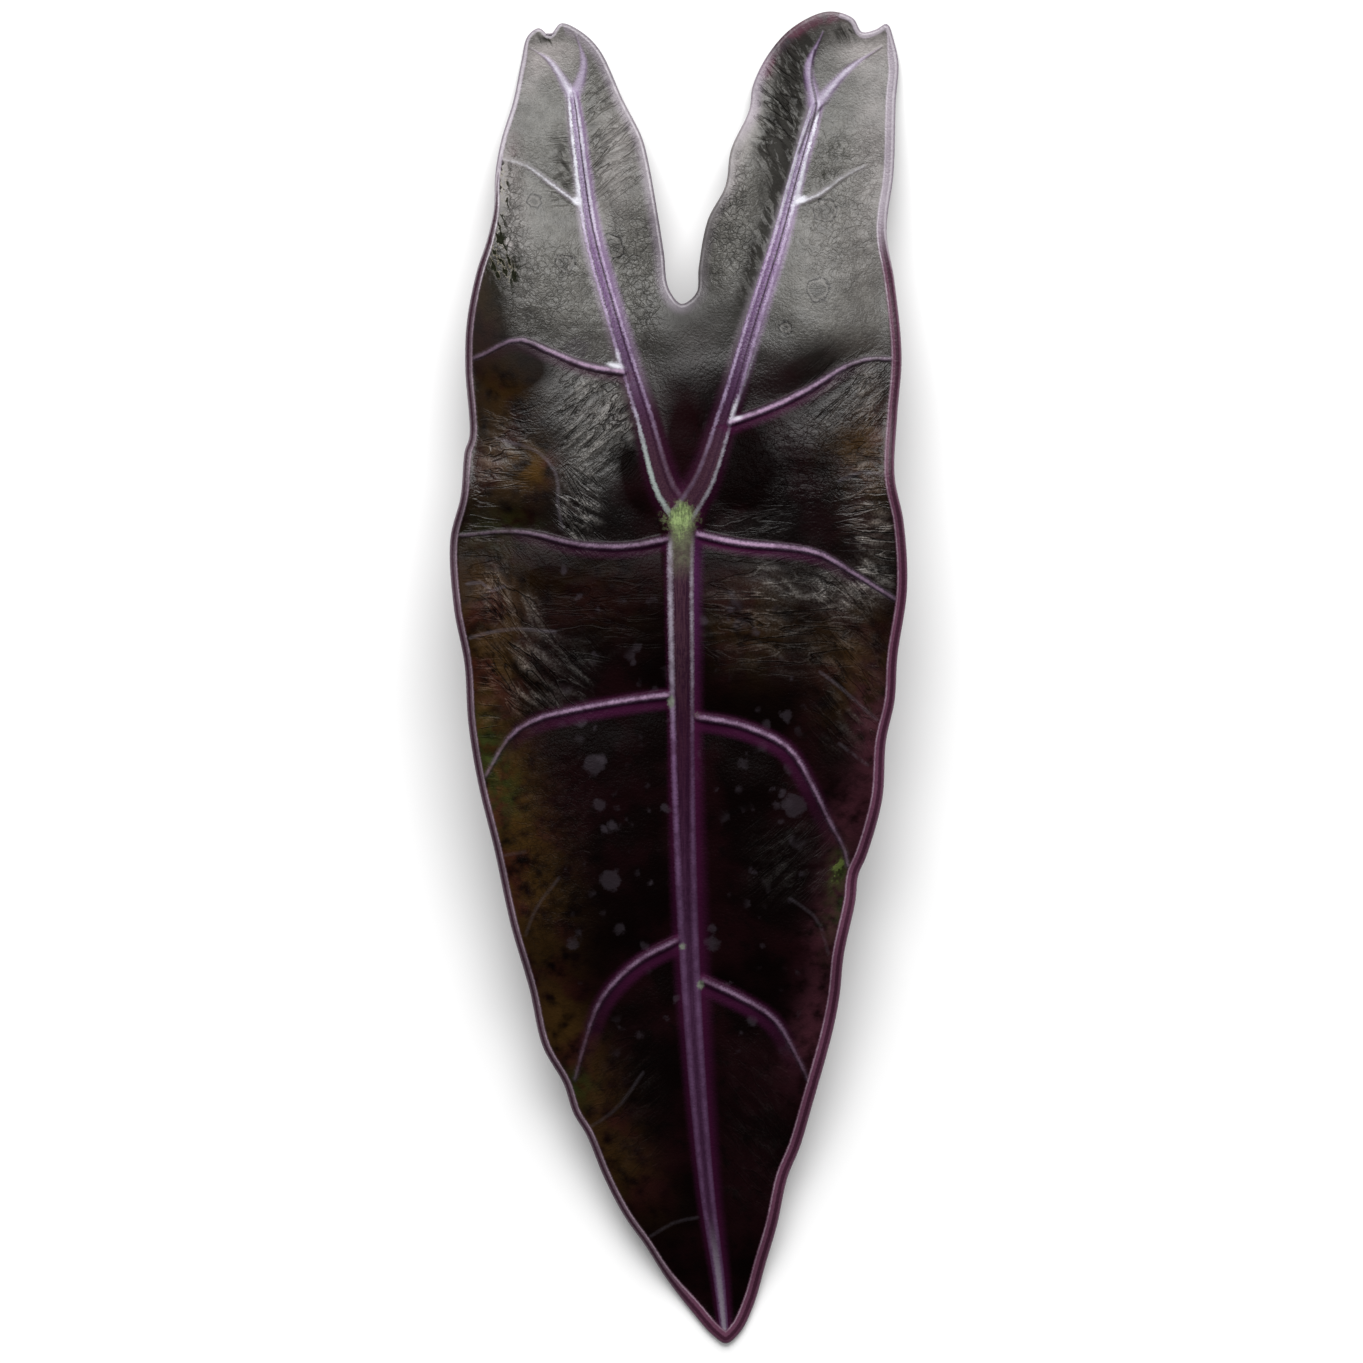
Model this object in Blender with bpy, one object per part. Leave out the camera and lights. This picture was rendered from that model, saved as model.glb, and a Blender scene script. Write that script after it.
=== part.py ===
"""Arrow-shaped alocasia leaf, picked with a short end of its stalk and laid face up.

The blade is one thin arched body. Its upper and lower faces share one layout of points, and a few formulas
give their heights: the arch, the gutter along the ribs, the quilting between the veins, the waved margin,
the raised veins above and their keels below. It lies on three flat spots: the tip and the two lobe ends.

Lengths in the tables are millimetres on the flat leaf, with 0, 0 near its middle, +Y to the basal lobes and
-Y to the tip. They become metres when the mesh is made.
"""

from collections import namedtuple
from math import pi

import bmesh
import bpy
import numpy as np
from mathutils import Matrix, Vector
from mathutils.geometry import delaunay_2d_cdt

MM = 0.001

# Outline of the blade, clockwise from the bottom of the sinus
RIGHT_LOBE_INNER = [
    (0.0, 79.3), (3.1, 81.6), (3.6, 87.0), (5.5, 96.9), (9.2, 104.1), (10.4, 111.8), (14.2, 120.2),
    (15.0, 125.4), (18.4, 132.3), (23.6, 137.9),
]
RIGHT_LOBE_END = [
    (30.8, 141.1), (36.1, 139.7), (38.0, 136.8), (40.9, 137.3), (43.3, 138.5), (44.7, 135.1), (45.7, 129.9),
]
RIGHT_MARGIN = [
    (45.1, 122.2), (44.6, 107.0), (43.1, 94.5), (44.7, 84.3), (46.2, 68.2), (45.3, 56.0), (44.7, 43.0),
    (46.6, 33.3), (47.3, 19.5), (45.3, 5.4), (44.7, -4.0), (42.9, -12.5), (42.1, -24.7), (38.9, -36.4),
    (37.1, -40.7), (36.5, -46.0), (34.1, -57.2), (33.2, -66.0), (31.8, -73.3), (27.6, -88.6), (24.9, -97.9),
    (22.3, -104.3), (20.1, -114.4), (17.8, -122.3), (15.3, -131.0), (12.5, -136.8),
]
TIP = [(9.4, -139.4), (6.6, -137.7)]
LEFT_MARGIN = [
    (1.7, -132.1), (-3.2, -125.7), (-7.7, -118.6), (-12.2, -112.2), (-16.3, -104.3), (-20.0, -95.3),
    (-22.7, -90.8), (-24.8, -84.5), (-29.2, -76.5), (-32.0, -64.4), (-35.9, -50.8), (-39.3, -35.1),
    (-42.7, -21.1), (-44.7, -8.6), (-45.5, 3.8), (-47.7, 15.5), (-48.5, 29.7), (-46.3, 38.9), (-45.5, 48.2),
    (-44.5, 51.5), (-45.4, 66.0), (-45.1, 75.1), (-43.1, 85.7), (-40.8, 92.9), (-39.4, 99.3), (-39.2, 106.0),
    (-38.0, 113.5), (-35.4, 122.2),
]
LEFT_LOBE_END = [
    (-33.8, 130.3), (-32.4, 135.9), (-30.0, 137.6), (-27.8, 136.1), (-25.4, 138.6), (-21.5, 137.1),
]
LEFT_LOBE_INNER = [
    (-17.3, 133.1), (-12.3, 122.4), (-8.3, 114.4), (-6.8, 108.5), (-5.1, 98.9), (-3.7, 90.1), (-2.7, 82.6),
]
OUTLINE = (
    RIGHT_LOBE_INNER + RIGHT_LOBE_END + RIGHT_MARGIN + TIP + LEFT_MARGIN + LEFT_LOBE_END + LEFT_LOBE_INNER
)

# Each vein runs outwards from where it starts. Its width, how far it stands above the upper face and how far
# below the lower face go from a start value to an end value. A taper over 1 brings them down early.
Vein = namedtuple("Vein", "points width rise keel taper")

JUNCTION = (0.3, 35.4)
MIDRIB_POINTS = [
    JUNCTION, (-0.1, 25.5), (0.1, 2.0), (0.6, -29.1), (1.5, -54.3), (3.3, -83.7), (5.6, -108.9),
    (7.9, -125.7), (9.1, -137.4),
]
LEFT_RIB_POINTS = [
    JUNCTION, (-3.1, 40.1), (-7.9, 56.2), (-14.3, 77.1), (-18.9, 94.1), (-20.9, 106.9), (-22.3, 118.2),
    (-23.0, 123.6),
]
RIGHT_RIB_POINTS = [
    JUNCTION, (4.3, 41.7), (9.2, 56.2), (15.2, 76.3), (20.6, 93.7), (24.1, 106.9), (27.0, 117.0),
    (28.2, 121.4),
]
RIBS = [
    Vein(MIDRIB_POINTS, width=(5.2, 1.4), rise=(1.05, 0.35), keel=(3.2, 0.6), taper=0.6),
    Vein(LEFT_RIB_POINTS, width=(5.0, 3.0), rise=(0.95, 0.60), keel=(2.6, 1.2), taper=4),
    Vein(RIGHT_RIB_POINTS, width=(5.0, 3.0), rise=(0.95, 0.60), keel=(2.6, 1.2), taper=4),
]
CHANNEL_DEPTH, CHANNEL_REACH = 0.35, 0.5  # the ribs' crests are hollowed along their middle
SIDE_VEIN_POINTS = [
    [(-21.6, 100.3), (-27.0, 104.3), (-33.0, 108.6), (-37.6, 109.8)],
    [(-12.2, 65.0), (-20.0, 66.3), (-27.6, 69.3), (-34.3, 71.8), (-41.2, 68.8), (-43.7, 67.8)],
    [(-3.0, 29.9), (-10.7, 28.4), (-20.8, 28.6), (-34.0, 31.4), (-46.3, 30.6)],
    [(-2.7, -2.8), (-10.7, -3.8), (-22.8, -6.0), (-30.8, -8.1), (-36.0, -11.6), (-41.0, -19.8)],
    [(-0.6, -54.1), (-9.6, -59.0), (-17.0, -66.9), (-20.6, -77.0), (-22.4, -83.6)],
    [(23.0, 100.0), (29.2, 102.5), (34.0, 106.1), (38.6, 108.4)],
    [(10.2, 54.4), (18.8, 57.5), (27.5, 61.8), (34.1, 65.9), (39.5, 67.7), (44.0, 67.6)],
    [(3.4, 30.9), (11.6, 29.1), (28.0, 27.1), (35.7, 22.9), (44.6, 17.3)],
    [(3.1, -7.4), (12.4, -9.1), (22.4, -13.9), (27.0, -21.0), (31.0, -29.3), (34.2, -35.4), (34.9, -38.6)],
    [(4.5, -62.6), (12.4, -66.3), (19.6, -70.9), (24.0, -78.3), (26.8, -84.0)],
]
FORK_POINTS = [
    [(-24.0, 125.0), (-27.8, 130.7), (-32.0, 133.5)],
    [(-21.9, 125.0), (-20.6, 130.3), (-22.2, 136.2)],
    [(27.8, 123.4), (26.8, 129.5), (29.8, 136.8)],
    [(29.6, 122.8), (35.3, 129.0), (42.0, 133.6)],
]
SIDE_VEINS = [
    Vein(points, width=(2.1, 1.0), rise=(0.85, 0.35), keel=(1.3, 0.5), taper=1)
    for points in SIDE_VEIN_POINTS
]
FORKS = [
    Vein(points, width=(2.1, 1.0), rise=(0.60, 0.30), keel=(1.0, 0.4), taper=1)
    for points in FORK_POINTS
]
KEEL_SPREAD = 1.25  # a side vein's keel is this much wider than its crest

# Arch of the blade along its length
CREST_Y, CREST_HEIGHT = 14.0, 19.5
LOBE_END_Y, TIP_END_Y = 139.5, -139.4
FOOT_DIP = 2.4  # how far the bare arch would dip under the surface at its ends, where it lies flat instead
FOOT_SOFTNESS = 0.5
FOOT_SNAP = 0.12

# Form across the blade
BLADE_THICKNESS = 0.7
LEAST_THICKNESS = 0.7
GUTTER_RISE, GUTTER_REACH = 1.9, 8.0
QUILT_RISE, QUILT_REACH = 1.7, 7.5
DROOP, DROOP_REACH = 3.4, 10.0
WAVE_HEIGHTS = (0.9, 0.7, 0.5, 0.5)
WAVE_LENGTHS = (46.0, 31.0, 23.0, 17.0)
WAVE_REACH = 9.0
SWELL_HEIGHT, SWELL_LENGTH = 0.5, 58.0
RIM_WIDTH, RIM_RISE, RIM_KEEL = 2.1, 0.60, 0.25
HUB_RADIUS, HUB_RISE, HUB_KEEL = 4.5, 0.5, 2.6  # the swelling where the stalk joins

# Stalk end under the junction, as run towards the tip, depth under the upper face, and radius
STALK_STATIONS = [
    (-1.5, 4.1, 2.2), (2.5, 5.6, 2.9), (8.0, 7.9, 3.1), (15.0, 9.9, 3.0), (24.0, 11.4, 2.9),
    (33.0, 12.2, 2.8),
]
STALK_SIDES = 12

# Spacing of the layout's points
OUTLINE_STEP, VEIN_STEP, GRID_STEP = 2.5, 2.9, 3.7
CLEAR_OF_VEIN, CLEAR_OF_RIM, CLEAR_OF_GRID = 0.62, 1.1, 2.3
GRID_JITTER = 0.3
RIB_EDGE, RIB_FOOT, SIDE_FOOT = 0.40, 0.78, 0.72  # where points lie beside a crest, in vein widths
SEED = 11


def spline(points, step, closed=False):
    """Points about a step apart on a centripetal Catmull-Rom curve through the given ones."""
    given = np.array(points, float)
    if closed:
        given = np.vstack([given[-1:], given, given[:2]])
    else:
        given = np.vstack([2 * given[0] - given[1], given, 2 * given[-1] - given[-2]])
    knots = np.concatenate([[0], np.cumsum(np.sqrt(np.linalg.norm(np.diff(given, axis=0), axis=1)))])
    fine = []
    for i in range(1, len(given) - 2):
        t = np.linspace(knots[i], knots[i + 1], 24, endpoint=False)[:, None]
        k0, k1, k2, k3 = knots[i - 1 : i + 3]
        p0, p1, p2, p3 = given[i - 1 : i + 3]
        a1 = ((k1 - t) * p0 + (t - k0) * p1) / (k1 - k0)
        a2 = ((k2 - t) * p1 + (t - k1) * p2) / (k2 - k1)
        a3 = ((k3 - t) * p2 + (t - k2) * p3) / (k3 - k2)
        b1 = ((k2 - t) * a1 + (t - k0) * a2) / (k2 - k0)
        b2 = ((k3 - t) * a2 + (t - k1) * a3) / (k3 - k1)
        fine.append(((k2 - t) * b1 + (t - k1) * b2) / (k2 - k1))
    fine = np.vstack(fine + [given[1:2] if closed else given[-2:-1]])
    run = np.concatenate([[0], np.cumsum(np.linalg.norm(np.diff(fine, axis=0), axis=1))])
    stops = np.linspace(0, run[-1], max(2, round(run[-1] / step)) + 1)
    if closed:
        stops = stops[:-1]
    return np.stack([np.interp(stops, run, fine[:, k]) for k in (0, 1)], axis=1)


def measure(places, path):
    """Each place's distance to a path and the share of the path's length at the nearest point."""
    start, run = path[:-1], np.diff(path, axis=0)
    length = np.linalg.norm(run, axis=1)
    offset = places[:, None, :] - start
    share = np.clip((offset * run).sum(axis=2) / length**2, 0, 1)
    distance = np.linalg.norm(offset - share[..., None] * run, axis=2)
    nearest = distance.argmin(axis=1)
    row = np.arange(len(places))
    before = np.concatenate([[0], np.cumsum(length)])
    reached = before[nearest] + share[row, nearest] * length[nearest]
    return distance[row, nearest], reached / before[-1]


def along(vein, pair, share):
    """A value that goes from a vein's start value to its end value, by the vein's taper."""
    return pair[1] + (pair[0] - pair[1]) * (1 - share) ** vein.taper


class Leaf:
    """The leaf's curves, and its heights at any place."""

    def __init__(self):
        self.margin = spline(OUTLINE, OUTLINE_STEP, closed=True)
        self.margin_loop = np.vstack([self.margin, self.margin[:1]])
        self.rib_paths = [spline(vein.points, VEIN_STEP) for vein in RIBS]
        self.side_paths = [spline(vein.points, VEIN_STEP) for vein in SIDE_VEINS + FORKS]
        random = np.random.default_rng(SEED)
        self.wave_turns = random.uniform(0, pi, len(WAVE_LENGTHS))
        self.wave_phases = random.uniform(0, 2 * pi, len(WAVE_LENGTHS))

    def waves(self, places):
        """A sum of plane waves in several directions, which repeats nowhere on the leaf."""
        total = np.zeros(len(places))
        waves = zip(WAVE_HEIGHTS, WAVE_LENGTHS, self.wave_turns, self.wave_phases)
        for height, length, turn, phase in waves:
            across = places[:, 0] * np.cos(turn) + places[:, 1] * np.sin(turn)
            total += height * np.sin(2 * pi * across / length + phase)
        return total

    def middle_layer(self, places, to_rib, to_side, to_margin):
        """Height of the layer halfway through the blade, over the surface it lies on."""
        y = places[:, 1]
        span = np.where(y > CREST_Y, LOBE_END_Y - CREST_Y, CREST_Y - TIP_END_Y)
        run = np.abs(y - CREST_Y) / span
        arch = CREST_HEIGHT - (CREST_HEIGHT + FOOT_DIP) * run**2
        calm = 1 - np.clip(run, 0, 1) ** 4
        gutter = GUTTER_RISE * (1 - np.exp(-((to_rib / GUTTER_REACH) ** 2)))
        quilt = QUILT_RISE * (1 - np.exp(-((to_side / QUILT_REACH) ** 2)))
        droop = DROOP * np.exp(-to_margin / DROOP_REACH)
        waves = self.waves(places) * np.exp(-((to_margin / WAVE_REACH) ** 2))
        swell = SWELL_HEIGHT * np.sin(2 * pi * (places[:, 0] + 0.6 * y) / SWELL_LENGTH)
        raw = arch + calm * (gutter + quilt - droop + waves + swell)
        return BLADE_THICKNESS / 2 + FOOT_SOFTNESS * np.logaddexp(0, raw / FOOT_SOFTNESS)

    def heights(self, places):
        """Heights of the upper and the lower face at each place."""
        above, below = np.zeros(len(places)), np.zeros(len(places))
        to_rib, to_side = np.full(len(places), 1e3), np.full(len(places), 1e3)
        veins = [(vein, path, True) for vein, path in zip(RIBS, self.rib_paths)]
        veins += [(vein, path, False) for vein, path in zip(SIDE_VEINS + FORKS, self.side_paths)]
        for vein, path, is_rib in veins:
            distance, share = measure(places, path)
            reach = distance / (along(vein, vein.width, share) / 2)
            crest = along(vein, vein.rise, share) * np.exp(-(reach**4) / 2)
            if is_rib:
                crest -= CHANNEL_DEPTH * np.exp(-((reach / CHANNEL_REACH) ** 2))
                to_rib = np.minimum(to_rib, distance)
            else:
                reach = reach / KEEL_SPREAD
                to_side = np.minimum(to_side, distance)
            above = np.maximum(above, crest)
            below = np.maximum(below, along(vein, vein.keel, share) * np.exp(-(reach**2)))
        to_margin, _ = measure(places, self.margin_loop)
        bead = np.exp(-((to_margin / RIM_WIDTH) ** 4))
        hub = np.exp(-((np.linalg.norm(places - JUNCTION, axis=1) / HUB_RADIUS) ** 2))
        above = np.maximum(above, RIM_RISE * bead) + HUB_RISE * hub
        below = np.maximum(below, RIM_KEEL * bead) + HUB_KEEL * hub
        middle = self.middle_layer(places, to_rib, to_side, to_margin)
        lower = np.maximum(middle - BLADE_THICKNESS / 2 - below - FOOT_SNAP, 0)
        upper = np.maximum(middle + BLADE_THICKNESS / 2 + above, lower + LEAST_THICKNESS)
        return upper, lower


def beside(path, offset):
    """The points of a path moved sideways."""
    run = np.gradient(path, axis=0)
    run /= np.linalg.norm(run, axis=1)[:, None]
    return path + offset * np.stack([-run[:, 1], run[:, 0]], axis=1)


def inside(places, loop):
    """Which places lie inside a closed outline."""
    a, b = loop[:-1], loop[1:]
    x, y = places[:, 0, None], places[:, 1, None]
    crosses = (a[:, 1] > y) != (b[:, 1] > y)
    rise = np.where(b[:, 1] == a[:, 1], 1, b[:, 1] - a[:, 1])
    left = x < a[:, 0] + (y - a[:, 1]) * (b[:, 0] - a[:, 0]) / rise
    return (crosses & left).sum(axis=1) % 2 == 1


class Layout:
    """Points on the flat leaf, each kept clear of those before it, with the edges the mesh must hold."""

    def __init__(self, leaf):
        self.leaf = leaf
        self.points = leaf.margin.copy()
        count = len(self.points)
        self.edges = [(i, (i + 1) % count) for i in range(count)]

    def add_line(self, path):
        first = len(self.points)
        self.points = np.vstack([self.points, path])
        self.edges += [(first + i, first + i + 1) for i in range(len(path) - 1)]

    def add_clear(self, places, clear, from_margin):
        places = places[inside(places, self.leaf.margin_loop)]
        places = places[measure(places, self.leaf.margin_loop)[0] > from_margin]
        for place in places:
            if np.linalg.norm(self.points - place, axis=1).min() > clear:
                self.points = np.vstack([self.points, place])


def layout_of(leaf):
    """The leaf's layout: margin, vein crests, vein sides, rim, then a loose triangular grid."""
    layout = Layout(leaf)
    for path in leaf.rib_paths:
        layout.add_line(path if path is leaf.rib_paths[0] else path[1:])
    for path in leaf.side_paths:
        layout.add_line(path)
    for vein, path in zip(RIBS, leaf.rib_paths):
        share = np.linspace(0, 1, len(path))[:, None]
        for side in (-1, 1):
            for reach in (RIB_EDGE, RIB_FOOT):
                offset = side * reach * along(vein, vein.width, share)
                layout.add_clear(beside(path, offset), CLEAR_OF_VEIN, RIM_WIDTH / 2)
    for vein, path in zip(SIDE_VEINS + FORKS, leaf.side_paths):
        share = np.linspace(0, 1, len(path))[:, None]
        for side in (-1, 1):
            offset = side * SIDE_FOOT * along(vein, vein.width, share)
            layout.add_clear(beside(path, offset), CLEAR_OF_VEIN, RIM_WIDTH / 2)
    loop = np.vstack([leaf.margin[-1:], leaf.margin, leaf.margin[:1]])
    for side in (-1, 1):
        layout.add_clear(beside(loop, side * RIM_WIDTH)[1:-1], CLEAR_OF_RIM, 0.8 * RIM_WIDTH)
    random = np.random.default_rng(SEED)
    low, high = leaf.margin.min(axis=0), leaf.margin.max(axis=0)
    rows = np.arange(low[1], high[1], GRID_STEP * 0.866)
    columns = np.arange(low[0], high[0], GRID_STEP)
    grid = np.array([(x + (i % 2) * GRID_STEP / 2, y) for i, y in enumerate(rows) for x in columns])
    grid += random.uniform(-GRID_JITTER, GRID_JITTER, grid.shape)
    layout.add_clear(grid, CLEAR_OF_GRID, 1.6 * RIM_WIDTH)
    return layout


def blade_mesh(leaf):
    """The closed blade: a triangulated sheet, given its lower copy and its edge by an extrusion."""
    layout = layout_of(leaf)
    points = [Vector(place) for place in layout.points]
    places, _, faces, *_ = delaunay_2d_cdt(points, layout.edges, [], 1, 1e-4)
    blade = bmesh.new()
    corners = [blade.verts.new((place[0], place[1], 0)) for place in places]
    for face in faces:
        blade.faces.new([corners[i] for i in face])
    lower_faces = blade.faces[:]
    extruded = bmesh.ops.extrude_face_region(blade, geom=lower_faces, use_keep_orig=True)
    upper_verts = [item for item in extruded["geom"] if isinstance(item, bmesh.types.BMVert)]
    bmesh.ops.translate(blade, verts=upper_verts, vec=(0, 0, 1))
    bmesh.ops.reverse_faces(blade, faces=lower_faces)
    verts = blade.verts[:]
    upper, lower = leaf.heights(np.array([vert.co.xy for vert in verts]))
    for vert, high, low in zip(verts, upper, lower):
        vert.co.z = high if vert.co.z > 0.5 else low
    bmesh.ops.triangulate(blade, faces=blade.faces[:])
    bmesh.ops.recalc_face_normals(blade, faces=blade.faces[:])
    return blade


def stalk_mesh(leaf):
    """The cut end of the stalk: a tapering rod that leaves the hub and runs back under the midrib."""
    stalk = bmesh.new()
    hub = np.array([JUNCTION])
    upper, _ = leaf.heights(hub)
    ring = bmesh.ops.create_circle(stalk, cap_ends=True, segments=STALK_SIDES, radius=1)["verts"]
    end = ring[0].link_faces[0]
    stations = [
        Vector((JUNCTION[0], JUNCTION[1] - run, upper[0] - depth))
        for run, depth, _ in STALK_STATIONS
    ]
    radii = [radius for _, _, radius in STALK_STATIONS]
    for i, (station, radius) in enumerate(zip(stations, radii)):
        ahead = stations[min(i + 1, len(stations) - 1)] - stations[max(i - 1, 0)]
        turn = ahead.to_track_quat("Z", "Y").to_matrix().to_4x4()
        place = Matrix.Translation(station) @ turn @ Matrix.Scale(radius, 4)
        if i:
            inner = list(end.edges) if i > 1 else []
            extruded = bmesh.ops.extrude_face_region(stalk, geom=[end, *inner])["geom"]
            end = next(item for item in extruded if isinstance(item, bmesh.types.BMFace))
            bmesh.ops.transform(stalk, matrix=last.inverted(), verts=end.verts[:])
        bmesh.ops.transform(stalk, matrix=place, verts=end.verts[:])
        last = place
    bmesh.ops.recalc_face_normals(stalk, faces=stalk.faces[:])
    return stalk


def add_object(name, body, shift, material):
    """A mesh object from a millimetre bmesh, shifted and turned to metres."""
    bmesh.ops.translate(body, verts=body.verts[:], vec=shift)
    bmesh.ops.scale(body, verts=body.verts[:], vec=(MM, MM, MM))
    mesh = bpy.data.meshes.new(name)
    body.to_mesh(mesh)
    body.free()
    mesh.shade_smooth()
    mesh.set_sharp_from_angle(angle=0.6)
    mesh.materials.append(material)
    item = bpy.data.objects.new(name, mesh)
    bpy.context.scene.collection.objects.link(item)
    return item


def leaf_skin():
    """Satin near-black maroon blade."""
    material = bpy.data.materials.new("leaf_skin")
    material.use_nodes = True
    shader = material.node_tree.nodes["Principled BSDF"]
    shader.inputs["Base Color"].default_value = (0.012, 0.005, 0.006, 1)
    shader.inputs["Roughness"].default_value = 0.42
    shader.inputs["Metallic"].default_value = 0
    return material


def main():
    for item in list(bpy.data.objects):
        bpy.data.objects.remove(item)
    leaf = Leaf()
    low, high = leaf.margin.min(axis=0), leaf.margin.max(axis=0)
    shift = (*(-(low + high) / 2), 0)
    skin = leaf_skin()
    blade = add_object("leaf", blade_mesh(leaf), shift, skin)
    stalk = add_object("stalk_end", stalk_mesh(leaf), shift, skin)
    stalk.hide_render = True
    stalk.display_type = "WIRE"
    join = blade.modifiers.new("stalk_join", "BOOLEAN")
    join.operation = "UNION"
    join.object = stalk


main()
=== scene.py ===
"""Looks of a picked alocasia leaf: the fine relief and colours of its blade, and the pale studio it lies in.

The leaf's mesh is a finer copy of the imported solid. Its upper face is cut into small triangles and gets its
heights again from the solid's formulas, with the wrinkles, puckers and rim that are too fine for the solid.
Distances to the veins and to the margin are kept on the mesh, and the colours are painted by them.

Lengths in the tables are millimetres on the flat leaf, with 0, 0 near its middle, +Y to the basal lobes and
-Y to the tip.
"""

from collections import namedtuple
from functools import reduce
from math import pi, radians

import bmesh
import bpy
import numpy as np
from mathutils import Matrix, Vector


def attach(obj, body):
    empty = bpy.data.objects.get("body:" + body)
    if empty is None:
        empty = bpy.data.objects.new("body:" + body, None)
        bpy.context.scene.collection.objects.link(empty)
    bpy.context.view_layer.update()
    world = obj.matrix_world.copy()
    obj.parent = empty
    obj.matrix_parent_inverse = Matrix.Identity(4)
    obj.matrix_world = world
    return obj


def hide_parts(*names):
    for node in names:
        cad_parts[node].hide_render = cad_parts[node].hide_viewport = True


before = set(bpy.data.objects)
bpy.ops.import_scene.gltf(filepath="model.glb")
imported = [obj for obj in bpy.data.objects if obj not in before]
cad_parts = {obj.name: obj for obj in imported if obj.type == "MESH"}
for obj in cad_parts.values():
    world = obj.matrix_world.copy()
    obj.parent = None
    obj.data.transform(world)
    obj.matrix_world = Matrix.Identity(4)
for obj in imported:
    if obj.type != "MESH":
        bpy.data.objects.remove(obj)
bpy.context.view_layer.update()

MM = 0.001

# Outline of the blade, clockwise from the bottom of the sinus: right lobe, right margin, tip, left margin,
# left lobe
OUTLINE = [
    (0, 79.3), (3.1, 81.6), (3.6, 87), (5.5, 96.9), (9.2, 104.1), (10.4, 111.8), (14.2, 120.2), (15, 125.4),
    (18.4, 132.3), (23.6, 137.9), (30.8, 141.1), (36.1, 139.7), (38, 136.8), (40.9, 137.3), (43.3, 138.5),
    (44.7, 135.1), (45.7, 129.9), (45.1, 122.2), (44.6, 107), (43.1, 94.5), (44.7, 84.3), (46.2, 68.2),
    (45.3, 56), (44.7, 43), (46.6, 33.3), (47.3, 19.5), (45.3, 5.4), (44.7, -4), (42.9, -12.5),
    (42.1, -24.7), (38.9, -36.4), (37.1, -40.7), (36.5, -46), (34.1, -57.2), (33.2, -66), (31.8, -73.3),
    (27.6, -88.6), (24.9, -97.9), (22.3, -104.3), (20.1, -114.4), (17.8, -122.3), (15.3, -131),
    (12.5, -136.8), (9.4, -139.4), (6.6, -137.7), (1.7, -132.1), (-3.2, -125.7), (-7.7, -118.6),
    (-12.2, -112.2), (-16.3, -104.3), (-20, -95.3), (-22.7, -90.8), (-24.8, -84.5), (-29.2, -76.5),
    (-32, -64.4), (-35.9, -50.8), (-39.3, -35.1), (-42.7, -21.1), (-44.7, -8.6), (-45.5, 3.8),
    (-47.7, 15.5), (-48.5, 29.7), (-46.3, 38.9), (-45.5, 48.2), (-44.5, 51.5), (-45.4, 66), (-45.1, 75.1),
    (-43.1, 85.7), (-40.8, 92.9), (-39.4, 99.3), (-39.2, 106), (-38, 113.5), (-35.4, 122.2), (-33.8, 130.3),
    (-32.4, 135.9), (-30, 137.6), (-27.8, 136.1), (-25.4, 138.6), (-21.5, 137.1), (-17.3, 133.1),
    (-12.3, 122.4), (-8.3, 114.4), (-6.8, 108.5), (-5.1, 98.9), (-3.7, 90.1), (-2.7, 82.6),
]

# Each vein runs outwards from where it starts. Its width, how far it stands above the upper face and how far
# below the lower face go from a start value to an end value. A taper over 1 brings them down early.
Vein = namedtuple("Vein", "points width rise keel taper")

JUNCTION = (0.3, 35.4)
RIB_POINTS = [
    [
        JUNCTION, (-0.1, 25.5), (0.1, 2), (0.6, -29.1), (1.5, -54.3), (3.3, -83.7), (5.6, -108.9),
        (7.9, -125.7), (9.1, -137.4),
    ],
    [
        JUNCTION, (-3.1, 40.1), (-7.9, 56.2), (-14.3, 77.1), (-18.9, 94.1), (-20.9, 106.9), (-22.3, 118.2),
        (-23, 123.6),
    ],
    [
        JUNCTION, (4.3, 41.7), (9.2, 56.2), (15.2, 76.3), (20.6, 93.7), (24.1, 106.9), (27, 117),
        (28.2, 121.4),
    ],
]
RIBS = [Vein(RIB_POINTS[0], width=(5.2, 1.4), rise=(1.05, 0.35), keel=(3.2, 0.6), taper=0.6)] + [
    Vein(points, width=(5, 3), rise=(0.95, 0.6), keel=(2.6, 1.2), taper=4) for points in RIB_POINTS[1:]
]
CHANNEL_DEPTH, CHANNEL_REACH = 0.35, 0.5
SIDE_VEIN_POINTS = [
    [(-21.6, 100.3), (-27, 104.3), (-33, 108.6), (-37.6, 109.8)],
    [(-12.2, 65), (-20, 66.3), (-27.6, 69.3), (-34.3, 71.8), (-41.2, 68.8), (-43.7, 67.8)],
    [(-3, 29.9), (-10.7, 28.4), (-20.8, 28.6), (-34, 31.4), (-46.3, 30.6)],
    [(-2.7, -2.8), (-10.7, -3.8), (-22.8, -6), (-30.8, -8.1), (-36, -11.6), (-41, -19.8)],
    [(-0.6, -54.1), (-9.6, -59), (-17, -66.9), (-20.6, -77), (-22.4, -83.6)],
    [(23, 100), (29.2, 102.5), (34, 106.1), (38.6, 108.4)],
    [(10.2, 54.4), (18.8, 57.5), (27.5, 61.8), (34.1, 65.9), (39.5, 67.7), (44, 67.6)],
    [(3.4, 30.9), (11.6, 29.1), (28, 27.1), (35.7, 22.9), (44.6, 17.3)],
    [(3.1, -7.4), (12.4, -9.1), (22.4, -13.9), (27, -21), (31, -29.3), (34.2, -35.4), (34.9, -38.6)],
    [(4.5, -62.6), (12.4, -66.3), (19.6, -70.9), (24, -78.3), (26.8, -84)],
]
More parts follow.
